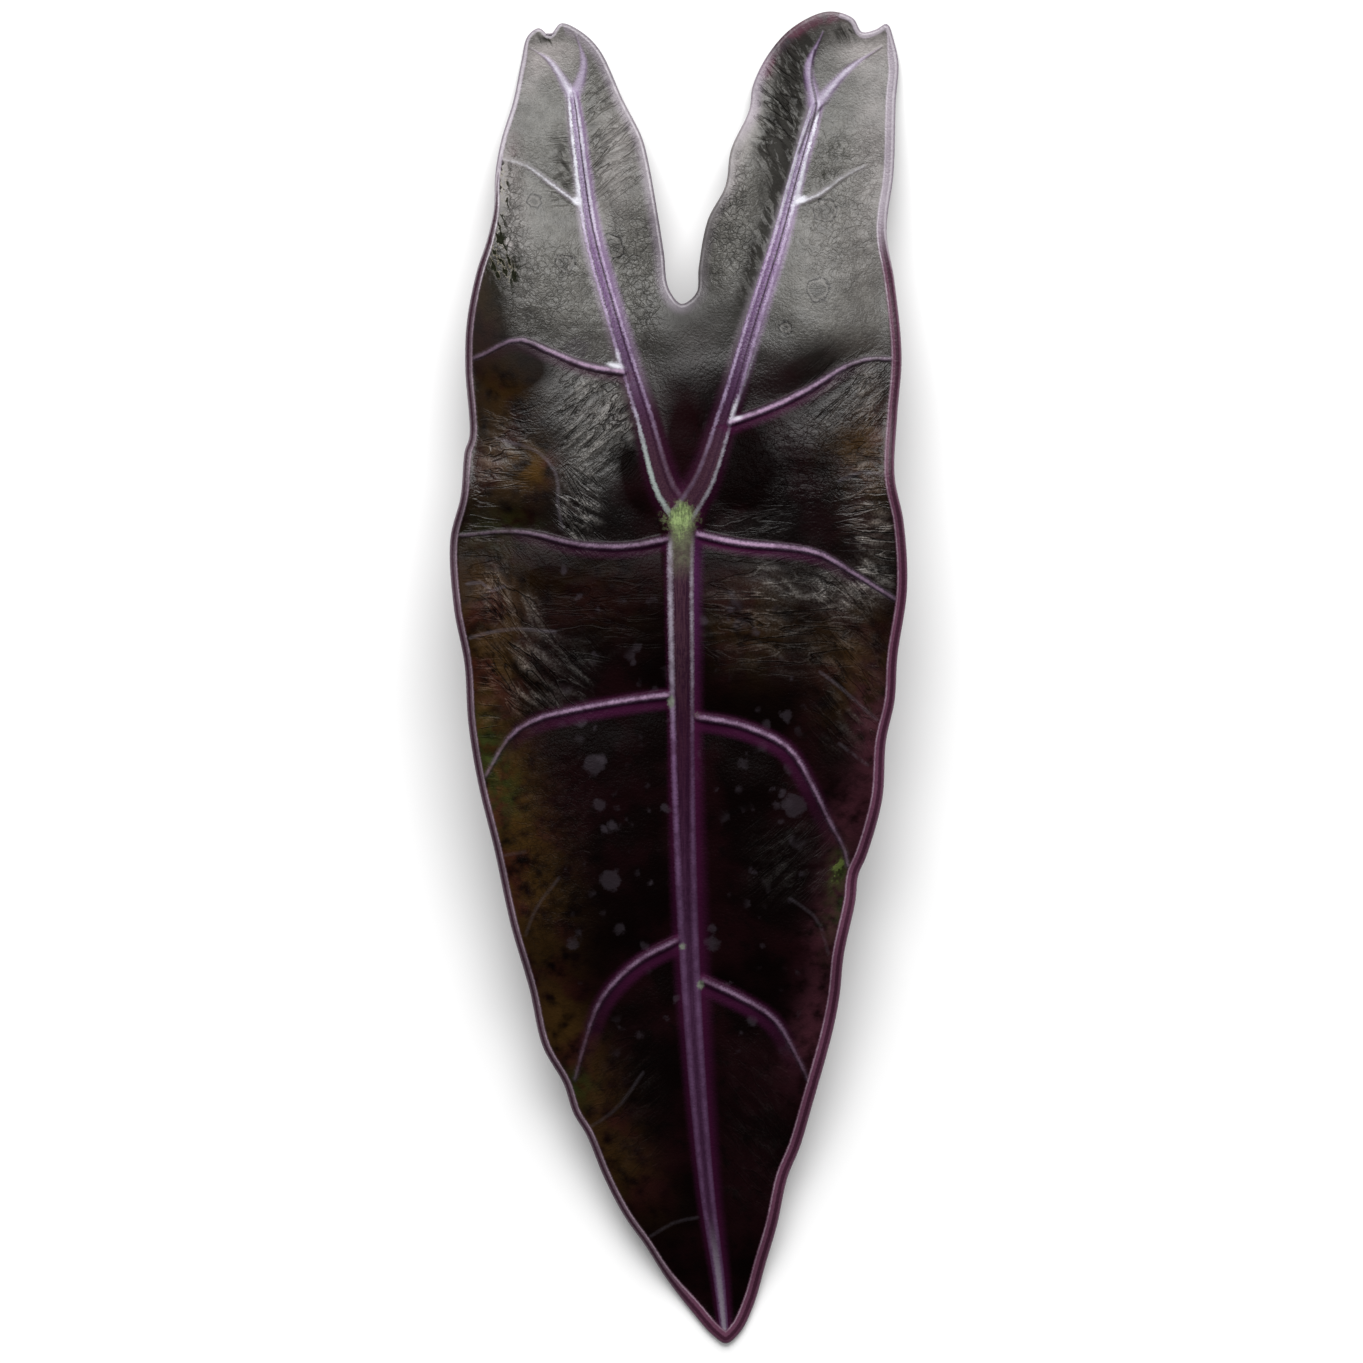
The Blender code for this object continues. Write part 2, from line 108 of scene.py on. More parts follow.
FORK_POINTS = [
    [(-24, 125), (-27.8, 130.7), (-32, 133.5)],
    [(-21.9, 125), (-20.6, 130.3), (-22.2, 136.2)],
    [(27.8, 123.4), (26.8, 129.5), (29.8, 136.8)],
    [(29.6, 122.8), (35.3, 129), (42, 133.6)],
]
SIDE_VEINS = [
    Vein(points, width=(2.1, 1), rise=(0.85, 0.35), keel=(1.3, 0.5), taper=1)
    for points in SIDE_VEIN_POINTS
]
FORKS = [
    Vein(points, width=(2.1, 1), rise=(0.6, 0.3), keel=(1, 0.4), taper=1)
    for points in FORK_POINTS
]
FAINT_VEIN_POINTS = [
    [(-44.3, 9.1), (-40, 10.3), (-35, 11), (-26.4, 10.4)],
    [(-45, 20.5), (-42, 20.8), (-40, 19), (-37, 20)],
    [(-37.5, -36.5), (-32.8, -35.7)],
    [(-32.7, -53.2), (-30.5, -47.6), (-25.6, -41.1)],
    [(3.6, -112.7), (-1.3, -113.7), (-6.5, -116.7)],
    [(-21.5, -95), (-14, -90), (-8, -82)],
    [(29, 2), (33, -1), (38, -5.5), (41, -8)],
    [(33, -13), (39, -17.5)],
    [(22.8, -45.5), (28.5, -50), (30.8, -57.2)],
    [(33, 42), (38, 44), (43, 43)],
    [(-39, 51), (-30, 48), (-26, 43), (-26, 38), (-25, 32)],
]
FAINT_RISE, FAINT_WIDTH = 0.064, 0.45

# Arch of the blade along its length, and its form across, as in the solid
CREST_Y, CREST_HEIGHT = 14, 19.5
LOBE_END_Y, TIP_END_Y = 139.5, -139.4
FOOT_DIP, FOOT_SOFTNESS, FOOT_SNAP = 2.4, 0.5, 0.12
BLADE_THICKNESS, LEAST_THICKNESS = 0.7, 0.7
GUTTER_RISE, GUTTER_REACH = 1.9, 8
QUILT_RISE, QUILT_REACH = 1.7, 7.5
DROOP, DROOP_REACH = 3.4, 10
WAVE_HEIGHTS = (0.9, 0.7, 0.5, 0.5)
WAVE_LENGTHS = (46, 31, 23, 17)
WAVE_REACH = 9
WAVE_SEED = 11
SWELL_HEIGHT, SWELL_LENGTH = 0.5, 58
RIM_WIDTH, RIM_RISE, RIM_KEEL = 2.1, 0.6, 0.25
HUB_RADIUS, HUB_RISE, HUB_KEEL = 4.5, 0.5, 2.6
KEEL_SPREAD = 1.25
OUTLINE_STEP, VEIN_STEP, FINE_STEP = 2.5, 2.9, 0.4

# How the visual differs from the solid where only a fine mesh can show it: slimmer and lower veins and rim
SIDE_SLIMNESS, FORK_SLIMNESS = 0.72, (0.95, 0.42)
SIDE_RISES_KEPT = (0.22, 1, 1, 1, 1, 0.3, 1, 1, 1, 1)
FORK_RISE_KEPT, RIM_IN_SINUS, HUB_FILL = 0.28, 0.3, 0.8
EDGE_DIP, EDGE_DIP_REACH, LEAST_FINE_THICKNESS = 0.21, 0.55, 0.42

# Fineness of the mesh, and the rounding of its edge
FACE_CUTS, EDGE_ROWS = 5, 2
EDGE_INSET, INSET_REACH = 0.35, 0.8
FINE_MARGIN_REACH = 6  # how far in from the margin its fine path is measured
LEVEL_SLACK, TOP_SHARE = 0.01, 0.999
BATCH = 3000

# Wrinkled fields of the upper face: each has ridges along one direction, in degrees from +X, a stretch
# that says how much longer than wide they are, and a light that says how strongly its crests are painted
# as highlights
Field = namedtuple("Field", "centre reach turn stretch spacing height light")
FIELDS = [Field(*row) for row in (
    ((-14.5, 114), (6.5, 15), 38, 8, 1.9, 0.26, 0.2), ((-24.5, 108), (3.5, 9), 18, 4, 1.3, 0.18, 0.1),
    ((-37, 100), (4, 12), 70, 2, 2.2, 0.24, 0.25), ((-28, 82), (12, 11), 8, 2, 2.8, 0.16, 0.15),
    ((-10, 85), (6, 16), 62, 2, 2.6, 0.2, 0.2), ((-17, 55), (9, 11), 46, 9, 2, 0.42, 1),
    ((-21.5, 36), (5, 8.5), 146, 5, 1.8, 0.34, 0.9), ((-38, 48), (7, 9), 166, 5, 2.4, 0.24, 0.4),
    ((-35, 17), (7, 9), 104, 6, 2.1, 0.26, 0.55), ((-30, 1), (11, 9), 138, 7, 2.2, 0.28, 0.45),
    ((-17, 14), (13, 11), 6, 5, 2.4, 0.14, 0.06), ((-42, 0), (4, 40), 4, 4, 2.2, 0.2, 0.15),
    ((-28, -32), (10, 24), 30, 2, 2.8, 0.12, 0.05), ((20, 122), (5, 13), 122, 6, 1.7, 0.34, 0.25),
    ((9, 98), (6, 14), 75, 2, 2.4, 0.28, 0.25), ((34, 100), (10, 18), 20, 2, 3, 0.12, 0.1),
    ((26, 46), (16, 9), 160, 2, 2.4, 0.14, 0.12), ((35, 60), (9, 9), 38, 6, 2, 0.2, 0.5),
    ((39, 42), (6, 13), 8, 6, 1.9, 0.22, 0.55), ((12, 15), (9, 12), 178, 9, 2.6, 0.2, 0.3),
    ((24, 20), (9, 5), 165, 4, 1.7, 0.16, 0.5), ((35, 19.5), (7, 5.5), 150, 4, 1.7, 0.18, 0.7),
    ((41.5, 27), (5.5, 9), 160, 5, 1.9, 0.2, 0.75), ((15, 34), (8, 3.5), 20, 6, 1.8, 0.14, 0.5),
    ((27, 9), (11, 8), 172, 8, 2.4, 0.2, 0.22), ((36, -2), (9, 14), 132, 7, 2.3, 0.2, 0.18),
    ((23, -38), (10, 9), 28, 3, 2.2, 0.14, 0.12), ((16, -95), (8, 20), 120, 3, 2.6, 0.1, 0.06),
    ((-12, -90), (9, 18), 55, 3, 2.6, 0.1, 0.06),
)]
NET_STRETCH = 3  # fields that are less stretched are netted, and the others have long parallel ridges
FIELD_LINE = 0.24
FIELD_BEND, FIELD_BEND_REACH = 1.7, 9
FULL_FOLD = 0.3  # height at which a field is painted as fully wrinkled
PUCKER_SPACING, PUCKER_HEIGHT = 6.5, 0.24

# The finest wrinkles are painted along the nearest of these turns, each with its spacing and stretch
GRAINS = {"rising": (42, 1.8, 6), "level": (2, 3, 4.5), "falling": (132, 2.6, 4.5)}

# Soft zones that colour the upper face. Each has its centre, its half-width and half-height, its strength,
# which fades out from the centre, and a turn in degrees where it has one.
ZONES = {
    # Painted sheen: grey on the lobes, added to the lamp's own sheen
    "painted_sheen": [
        (-27, 112, 15, 32, 1, 8), (-13, 100, 12, 30, 1), (-24, 90, 12, 14, 0.5), (34, 108, 14, 30, 1),
        (27, 86, 13, 14, 0.6), (9, 94, 7, 16, 0.7), (13, 112, 7, 18, 0.9, -14), (-26, 134, 6, 5, 0.6),
        (38, 134, 5, 6, 0.5), (-18, 52, 9, 11, 0.35, -40), (1, 74, 9, 7, 0.1), (35, 77, 9, 6, 0.6),
        (-28, 78, 5, 5, 0.4),
    ],
    # Paler painted sheen in patches on the lobes
    "pale": [
        (41, 114, 4.5, 24, 0.6), (38, 134, 6, 5, 0.8), (-37, 106, 3.5, 18, 0.6, 10),
        (-13, 112, 5, 18, 0.5, -14), (32, 92, 9, 14, 0.15), (14.4, 119, 2.4, 8, 0.9, -20),
        (11.2, 106, 2, 8, 0.5, -16), (-26.5, 132.5, 5, 4, 1), (-31.5, 130, 2.4, 6, 1, -10),
        (-36.4, 91.9, 1.1, 1.1, 1.2),
    ],
    "brown": [
        (-42, 82, 5, 12, 0.5, 8), (-38, 58, 8, 8, 0.35), (-40, 45, 6, 7, 0.4), (-31.5, 44.5, 5, 5, 1),
        (-41, 4, 8, 26, 0.65), (-36, -32, 8, 22, 0.8, 18), (-24, -75, 6, 20, 0.5, 25),
        (38, 84, 6, 14, 0.25), (40, 46, 6, 14, 0.45), (35, 50, 6, 5, 0.3), (-18, 18, 12, 8, 0.12),
        (36, 4, 8, 12, 0.4), (14, 12, 9, 10, 0.3), (-14, -100, 6, 12, 0.35, 35),
    ],
    "green": [
        (-38, 32, 10, 4, 0.35), (-41, -14, 4, 8, 0.9, 10), (-37, -24, 4, 7, 0.6, 10),
        (-22, -85, 3.5, 4, 0.7), (32.7, -39.2, 1.6, 3.6, 1.7, -12), (32.5, -47, 2.4, 9, 0.55, -10),
    ],
    # Painted shade: darker lobes, no painted sheen or highlights there, and a duller skin
    "shade": [
        (-24.6, 108.5, 1.9, 7, 0.8, 7), (22, 121, 3.6, 12, 1.5, -13), (20.6, 108, 2.8, 8, 1, -17),
        (17.5, 112, 2, 3.5, 0.7, -17), (24.5, 132, 4, 6, 0.6, -10), (15.8, 89, 2.1, 15, 1.2, -17),
        (-42, 82, 4.2, 9.5, 1.7, 10), (-41, 70, 6, 7, 1), (-34, 65.5, 7.5, 5, 1.5),
        (-34.5, 88.5, 1.6, 3, 0.8, -10), (-38, 57, 6, 6, 0.7), (-29, 50.5, 4, 5, 0.6),
        (-11.3, 47, 3.2, 5.5, 0.8, 15), (-29, 22, 9, 4.5, 1), (-37.5, 6, 3.5, 6, 0.6),
        (1, 76, 7, 5.5, 0.65), (8, 78, 3.5, 6, 0.4, -10), (37, 51, 5, 4, 0.6), (33, 1, 6, 6, 0.7),
        (14, 10, 5, 4, 0.5), (22, 135, 5, 4, 0.7), (34.5, 136.6, 3.5, 2.6, 0.9),
        (27, 66.5, 11, 3.9, 1.2, 20), (-28.3, 135.4, 1.8, 1, 0.9), (0.5, 44, 6, 13, 1.5),
        (12, 44, 6, 10, 1.2), (22, 57, 12, 4, 0.6, 25), (-8.5, 39.5, 5, 7, 1.2, 15), (-31, 43, 6, 5, 0.9),
        (-34, 34, 7, 4, 1.1), (26, 45, 14, 8, 0.9), (24, 35, 14, 4, 0.5), (-16, 18, 12, 8, 1),
        (0.5, 61, 7, 9, 0.6),
    ],
    "plum": [
        (18.2, 129.6, 1.2, 2.6, 2.2, -28), (24, 136.6, 4, 1.2, 1.4, 40), (29.8, 139.4, 4, 1.4, 1.8, 10),
        (40, -10, 4, 12, 0.6), (35, -30, 5, 9, 0.45, -10), (31, -50, 4, 9, 0.45, -12),
        (28, -70, 4.5, 12, 0.55, -16), (-35.5, 112, 1.5, 5, 0.35),
    ],
    "scar": [
        (-37.6, 104, 1.8, 8, 1.3, 4), (-39.3, 92, 2.6, 7, 1.5, 12), (-36.4, 86, 2.8, 3.4, 1.3, 30),
        (10, 100.5, 0.8, 2.6, 1, -30), (32.4, 111.6, 3.5, 2.4, 0.55, 30), (29.8, 106.5, 0.9, 2.4, 0.6, -30),
        (42.5, 96, 1.2, 4, 0.6), (-28, 135, 2.5, 1.2, 0.8),
    ],
    "silver": [
        (-21.9, 104, 0.5, 5, 0.9, 7), (-22, 100.9, 1, 0.8, 1.3, -20), (-14, 66.3, 1.8, 0.6, 1.3, -12),
        (-13.3, 68.2, 0.5, 1.8, 0.9, 14), (25, 104.6, 0.5, 5, 0.9, -14), (25.2, 101.3, 1.3, 0.8, 1.3, 25),
        (11, 57.2, 0.5, 2.8, 0.9, -18), (11.8, 55.2, 1.2, 0.5, 1, 18), (14.4, 66, 0.4, 7, 0.4, -17),
    ],
    "hub": [
        (-0.3, 34.4, 3.1, 2.4, 1.1), (0, 36.6, 1.3, 1.5, 0.5), (-0.3, 31, 1.8, 2.6, 0.45),
    ],
    "joint": [
        (-2.2, -4.2, 0.9, 1.6, 1), (0.2, -55.6, 1, 1, 0.8), (4, -63.6, 1, 1.1, 1), (3.2, -7, 1, 1.2, 0.5),
    ],
}

# How much purple goes with each side vein and fork, and how pale its line is
VEIN_PURPLES = (0, 0.6, 0.6, 0.9, 0.8, 0, 0.9, 1, 0.9, 0.8)
VEIN_PALES = (0.6, 0.75, 0.45, 0.75, 0.35, 0.5, 1, 1, 0.65, 0.4)
FORK_PURPLES, FORK_PALES = (0.25, 0.5, 0.9, 0.5), (0.65, 0.15, 0.2, 0.45)

# Dark lines that run from the right rib into its forks
GROOVE_POINTS = [
    [(24.6, 111), (26.6, 116.5), (28.3, 121), (27.4, 127.3), (28.1, 133)],
    [(26.6, 115.5), (28.9, 120.2), (31.8, 122.6)],
]

# Pale edges of the basal ribs: where each lies in half-widths, its strength, and how much whiter and wider
# it is near the hub
RIB_EDGES = {
    "left_rib": [(-0.9, 0.65, 1, 0.04), (0.72, 0.45, 0, 0)],
    "right_rib": [(-0.72, 0.65, 0, 0), (0.92, 0.45, 0.6, -0.03)],
}
RIB_NAMES = ("midrib", *RIB_EDGES)

# Dried drops, with centre and radius: rings left by their edges, and films left by whole drops
RINGS = [
    (-24.4, 87.8, 1.9), (-31, 100.9, 1.4), (-14.8, 91.2, 2.6), (30.2, 98.9, 2.5), (28.6, 82.2, 2.4),
    (29, 82.5, 1.8), (21.8, 74.3, 1.3),
]
FILMS = [
    (-14.8, -41.5, 2.3), (-18.3, -17.4, 2.2), (-17.2, -25.9, 1.5), (-22, 69.5, 2.6), (23.5, -26, 2.6),
]
SPECK_COUNT, SPECK_SEED = 190, 4
SPECK_AREA = ((-26, -78), (26, 24))
SPECK_RADII = (0.45, 1.5)

SPLINE_CUTS = 24
NOISE_CELLS = 64  # cells after which the noise repeats
SHARP_TURN = 70


def summed(steps):
    return np.concatenate([[0], np.cumsum(steps)])


def lengths(path):
    return np.linalg.norm(np.diff(path, axis=0), axis=1)


def between(t, first, second, low, high):
    return ((high - t) * first + (t - low) * second) / (high - low)


def spline(points, step, closed=False):
    """Points about a step apart on a centripetal Catmull-Rom curve through the given ones."""
    given = np.array(points, float)
    if closed:
        given = np.vstack([given[-1:], given, given[:2]])
    else:
        given = np.vstack([2 * given[0] - given[1], given, 2 * given[-1] - given[-2]])
    knots = summed(np.sqrt(lengths(given)))
    fine = []
    for i in range(1, len(given) - 2):
        t = np.linspace(knots[i], knots[i + 1], SPLINE_CUTS, endpoint=False)[:, None]
        k, p = knots[i - 1 : i + 3], given[i - 1 : i + 3]
        a, b, c = (between(t, p[j], p[j + 1], k[j], k[j + 1]) for j in range(3))
        fine.append(between(t, between(t, a, b, k[0], k[2]), between(t, b, c, k[1], k[3]), k[1], k[2]))
    fine = np.vstack(fine + [given[1:2] if closed else given[-2:-1]])
    run = summed(lengths(fine))
    stops = np.linspace(0, run[-1], max(2, round(run[-1] / step)) + 1)
    return np.stack([np.interp(stops, run, fine[:, k]) for k in (0, 1)], axis=1)


Trace = namedtuple("Trace", "distance share side foot normal")


def trace(places, path):
    """For each place: its distance to a path, how far along it, which side, and the nearest point there."""
    start, run, length = path[:-1], np.diff(path, axis=0), lengths(path)
    normals = np.column_stack([-run[:, 1], run[:, 0]]) / length[:, None]
    before = summed(length)
    found = []
    for some in np.array_split(places, len(places) // BATCH + 1):
        offset = some[:, None, :] - start
        share = np.clip((offset * run).sum(axis=2) / length**2, 0, 1)
        away = offset - share[..., None] * run
        distance = np.linalg.norm(away, axis=2)
        which = distance.argmin(axis=1)
        at = np.arange(len(some)), which
        reached = (before[which] + share[at] * length[which]) / before[-1]
        found.append((distance[at], reached, some - away[at], normals[which]))
    distance, share, foot, normal = map(np.concatenate, zip(*found))
    side = np.where(((places - foot) * normal).sum(axis=1) < 0, -1, 1)
    return Trace(distance, share, side, foot, normal)


def traces(places, paths):
    return [trace(places, path) for path in paths]


def nearest(found):
    """Distance to the nearest of some traced paths, which one it is, its side there and how far along it."""
    gaps = np.array([item.distance for item in found])
    which = gaps.argmin(axis=0)
    at = which, np.arange(len(which))
    side, share = (np.array([getattr(item, key) for item in found])[at] for key in ("side", "share"))
    return gaps[at], which, side, share


def along(vein, pair, share):
    """A value that goes from a vein's start value to its end value, by the vein's taper."""
    return pair[1] + (pair[0] - pair[1]) * (1 - share) ** vein.taper


def smooth(value, low, high):
    """0 below low, 1 above high, and an even curve between them."""
    share = np.clip((value - low) / (high - low), 0, 1)
    return share * share * (3 - 2 * share)


def turned(places, degrees=0):
    """Places in axes that are turned by an angle: the first runs along that angle."""
    angle = radians(degrees)
    x, y = places.T
    return np.column_stack([x * np.cos(angle) + y * np.sin(angle), y * np.cos(angle) - x * np.sin(angle)])


def rumple(places, seed):
    """Even noise from about -1 to 1, which changes over a distance of 1."""
    turns = np.random.default_rng(seed).uniform(0, 2 * pi, (NOISE_CELLS, NOISE_CELLS))
    cell = np.floor(places).astype(int)
    local = places - cell
    ease = local**3 * (local * (local * 6 - 15) + 10)
    total = np.zeros(len(places))
    for corner in np.ndindex(2, 2):
        turn = turns[tuple((cell + corner).T % NOISE_CELLS)]
        pull = (np.column_stack([np.cos(turn), np.sin(turn)]) * (local - corner)).sum(axis=1)
        total += np.abs(1 - np.array(corner) - ease).prod(axis=1) * pull
    return 1.6 * total


def ridges(places, seed):
    """1 on fine wandering lines and 0 between them."""
    return np.exp(-((rumple(places, seed) / FIELD_LINE) ** 2))


def zone_share(places, zones):
    total = np.zeros(len(places))
    for x, y, wide, high, strength, *turn in zones:
        offset = turned(places - (x, y), *turn) / (wide, high)
        total += strength * np.exp(-((offset**2).sum(axis=1)))
    return total


def drop_edge(places, drops, seed):
    """Distance to the wobbly edge of the nearest drop, negative inside it."""
    gap = np.full(len(places), np.inf)
    for x, y, radius in drops:
        gap = np.minimum(gap, np.linalg.norm(places - (x, y), axis=1) - radius)
    return gap + 0.5 * rumple(places / 1.9, seed) + 0.5 * rumple(places / 1.1, seed + 5)


def specks():
    """Small drops strewn over the lower middle of the blade."""
    random = np.random.default_rng(SPECK_SEED)
    centres = random.uniform(*SPECK_AREA, (SPECK_COUNT, 2))
    small, large = SPECK_RADII
    return np.column_stack([centres, small + (large - small) * random.uniform(0, 1, SPECK_COUNT) ** 2.5])


class Curves:
    """The leaf's margin and veins as fine paths."""

    def __init__(self):
        self.margin = spline(OUTLINE, OUTLINE_STEP, closed=True)
        self.fine_margin = spline(OUTLINE, FINE_STEP, closed=True)
        self.ribs, self.sides, self.forks = [
            [spline(vein.points, VEIN_STEP) for vein in veins] for veins in (RIBS, SIDE_VEINS, FORKS)
        ]
        ends = [rib.points[-1] for rib in RIBS[1:] for _ in range(2)]
        self.fine_forks = [spline([end, *vein.points], FINE_STEP) for end, vein in zip(ends, FORKS)]
        self.faints = [spline(points, VEIN_STEP) for points in FAINT_VEIN_POINTS]
        self.grooves = [spline(points, FINE_STEP) for points in GROOVE_POINTS]
        low, high = self.margin.min(axis=0), self.margin.max(axis=0)
        self.shift = Vector((*(-(low + high) / 2), 0))


class Survey:
    """What the formulas need to know about a set of places on the flat leaf."""

    def __init__(self, curves, places):
        self.places = places
        self.ribs, self.sides = traces(places, curves.ribs), traces(places, curves.sides)
        self.forks, self.fine_forks = traces(places, curves.forks), traces(places, curves.fine_forks)
        self.to_margin = trace(places, curves.margin).distance
        self.rim = self.to_margin.copy()
        close = self.rim < FINE_MARGIN_REACH
        self.rim[close] = trace(places[close], curves.fine_margin).distance

    def sinus(self):
        """1 along the sinus, between the two basal ribs, and 0 on the rest of the leaf."""
        _, left, right = self.ribs
        gap = np.minimum(-left.side * left.distance, right.side * right.distance)
        return smooth(gap, 0.5, 4) * smooth(self.places[:, 1], 62, 76)

    def waves(self):
        """A sum of plane waves in several directions, which repeats nowhere on the leaf."""
        random = np.random.default_rng(WAVE_SEED)
        turns = random.uniform(0, pi, len(WAVE_LENGTHS))
        phases = random.uniform(0, 2 * pi, len(WAVE_LENGTHS))
        total = np.zeros(len(self.places))
        for height, length, turn, phase in zip(WAVE_HEIGHTS, WAVE_LENGTHS, turns, phases):
            across = self.places @ (np.cos(turn), np.sin(turn))
            total += height * np.sin(2 * pi * across / length + phase)
        return total

    def hollow(self, veins, reach, fine):
        """0 on the traced veins, rising to 1 away from them. The fine form has no crease between two."""
        gaps = [item.distance for item in veins]
        if not fine:
            gaps = [np.min(gaps, axis=0)]
        return np.prod([1 - np.exp(-((gap / reach) ** 2)) for gap in gaps], axis=0)

    def middle_layer(self, fine=False):
        """Height of the layer halfway through the blade, in the solid's form or in the fine one."""
        x, y = self.places.T
        span = np.where(y > CREST_Y, LOBE_END_Y - CREST_Y, CREST_Y - TIP_END_Y)
        run = np.abs(y - CREST_Y) / span
        arch = CREST_HEIGHT - (CREST_HEIGHT + FOOT_DIP) * run**2
        calm = 1 - np.clip(run, 0, 1) ** 4
        gutter = GUTTER_RISE * self.hollow(self.ribs, GUTTER_REACH, fine)
        quilt = QUILT_RISE * self.hollow(self.sides + self.forks, QUILT_REACH, fine)
        droop = DROOP * np.exp(-self.to_margin / DROOP_REACH)
        waves = self.waves() * np.exp(-((self.to_margin / WAVE_REACH) ** 2))
        swell = SWELL_HEIGHT * np.sin(2 * pi * (x + 0.6 * y) / SWELL_LENGTH)
        raw = arch + calm * (gutter + quilt - droop + waves + swell)
        return BLADE_THICKNESS / 2 + FOOT_SOFTNESS * np.logaddexp(0, raw / FOOT_SOFTNESS)

    def rim_width(self):
        """Width of the visible rim: widest on the right, and narrow on the left lobe."""
        x, y = self.places.T
        left = 1.5 - 0.5 * smooth(y, 88, 104)
        right = 2.1 + 0.3 * smooth(y, 0, -30)
        return (left + (right - left) * smooth(x, -5, 5)) * (1 - 0.5 * smooth(y, 131, 137))

    def bead(self):
        """1 at the margin, fading out over the rim. It is low on the lobes, and slim in the sinus."""
        sinus = self.sinus()
        width = self.rim_width() * (1 - sinus) + RIM_WIDTH * RIM_IN_SINUS * sinus
        height = (1 - 0.7 * sinus) * (1 - 0.6 * smooth(self.places[:, 1], 88, 104))
        return height * np.exp(-((self.rim / width) ** 4))

    def reaches(self):
        """Each vein with its trace, the distance to it in half-widths, and how much of its rise it keeps."""
        y = self.places[:, 1]
        rib_end = 1 - 0.18 * smooth(y, 84, 112) - 0.22 * smooth(y, 114, 125)
        start, stop = FORK_SLIMNESS
        fork_slims = [stop + (start - stop) * (1 - item.share) ** 2 for item in self.fine_forks]
        slims = [1, rib_end, rib_end] + [SIDE_SLIMNESS] * len(SIDE_VEINS) + fork_slims
        kept = [1] * len(RIBS) + list(SIDE_RISES_KEPT) + [FORK_RISE_KEPT] * len(FORKS)
        found = self.ribs + self.sides + self.fine_forks
        for vein, item, slim, rise in zip(RIBS + SIDE_VEINS + FORKS, found, slims, kept):
            yield vein, item, item.distance / (slim * along(vein, vein.width, item.share) / 2), rise

    def bare(self):
        """1 on the blade between the veins, and 0 on ribs, side veins and rim."""
        share = smooth(self.rim, 0.7 * RIM_WIDTH, 1.7 * RIM_WIDTH)
        share = np.maximum(share, self.sinus() * smooth(self.rim, 0.6, 2))
        for _, _, reach, _ in self.reaches():
            share = np.minimum(share, smooth(reach, 0.9, 2))
        return share

    def folds(self):
        """Each wrinkled field with its share at each place and its folds, which go from about -1 to 1."""
        bend = np.column_stack([rumple(self.places / FIELD_BEND_REACH, seed) for seed in (21, 22)])
        for i, field in enumerate(FIELDS):
            share = np.exp(-(((self.places - field.centre) / field.reach) ** 4).sum(axis=1))
            grid = turned(self.places + FIELD_BEND * bend, field.turn) / field.spacing
            grid[:, 0] /= field.stretch
            if field.stretch < NET_STRETCH:
                fold = ridges(grid, 40 + i) + 0.6 * rumple(1.7 * grid, 80 + i)
            else:
                fold = 0.2 + 0.4 * ridges(grid, 40 + i) + 1.1 * rumple(1.3 * grid, 80 + i)
            yield field, share, fold

    def heights(self, curves, bare):
        """Heights of the upper face, with all that is too fine for the solid, and of the lower face."""
        above, below = np.zeros(len(self.places)), np.zeros(len(self.places))
        for vein, item, reach, kept in self.reaches():
            crest = kept * along(vein, vein.rise, item.share) * np.exp(-(reach**4) / 2)
            if vein in RIBS:
                crest -= CHANNEL_DEPTH * np.exp(-((reach / CHANNEL_REACH) ** 2))
            else:
                reach = reach / KEEL_SPREAD
            above = np.maximum(above, crest)
            below = np.maximum(below, along(vein, vein.keel, item.share) * np.exp(-(reach**2)))
        bead = self.bead()
        hub = np.exp(-((np.linalg.norm(self.places - JUNCTION, axis=1) / HUB_RADIUS) ** 2))
        above += (HUB_FILL - above) * hub
        above = np.maximum(above, RIM_RISE * bead) + HUB_RISE * hub
        below = np.maximum(below, RIM_KEEL * bead) + HUB_KEEL * hub
        middle = self.middle_layer(fine=True)
        lower = np.maximum(middle - BLADE_THICKNESS / 2 - below - FOOT_SNAP, 0)
        upper = np.maximum(middle + BLADE_THICKNESS / 2 + above, lower + LEAST_THICKNESS)
        wrinkles = PUCKER_HEIGHT * rumple(self.places / PUCKER_SPACING, 24)
        for field, share, fold in self.folds():
            wrinkles += field.height * share * (fold - 0.4)
        for item in traces(self.places, curves.faints):
            wrinkles += FAINT_RISE * np.exp(-((item.distance / FAINT_WIDTH) ** 2))
        upper += bare * wrinkles - EDGE_DIP * np.exp(-((self.rim / EDGE_DIP_REACH) ** 2))
        return np.maximum(upper, lower + LEAST_FINE_THICKNESS), lower


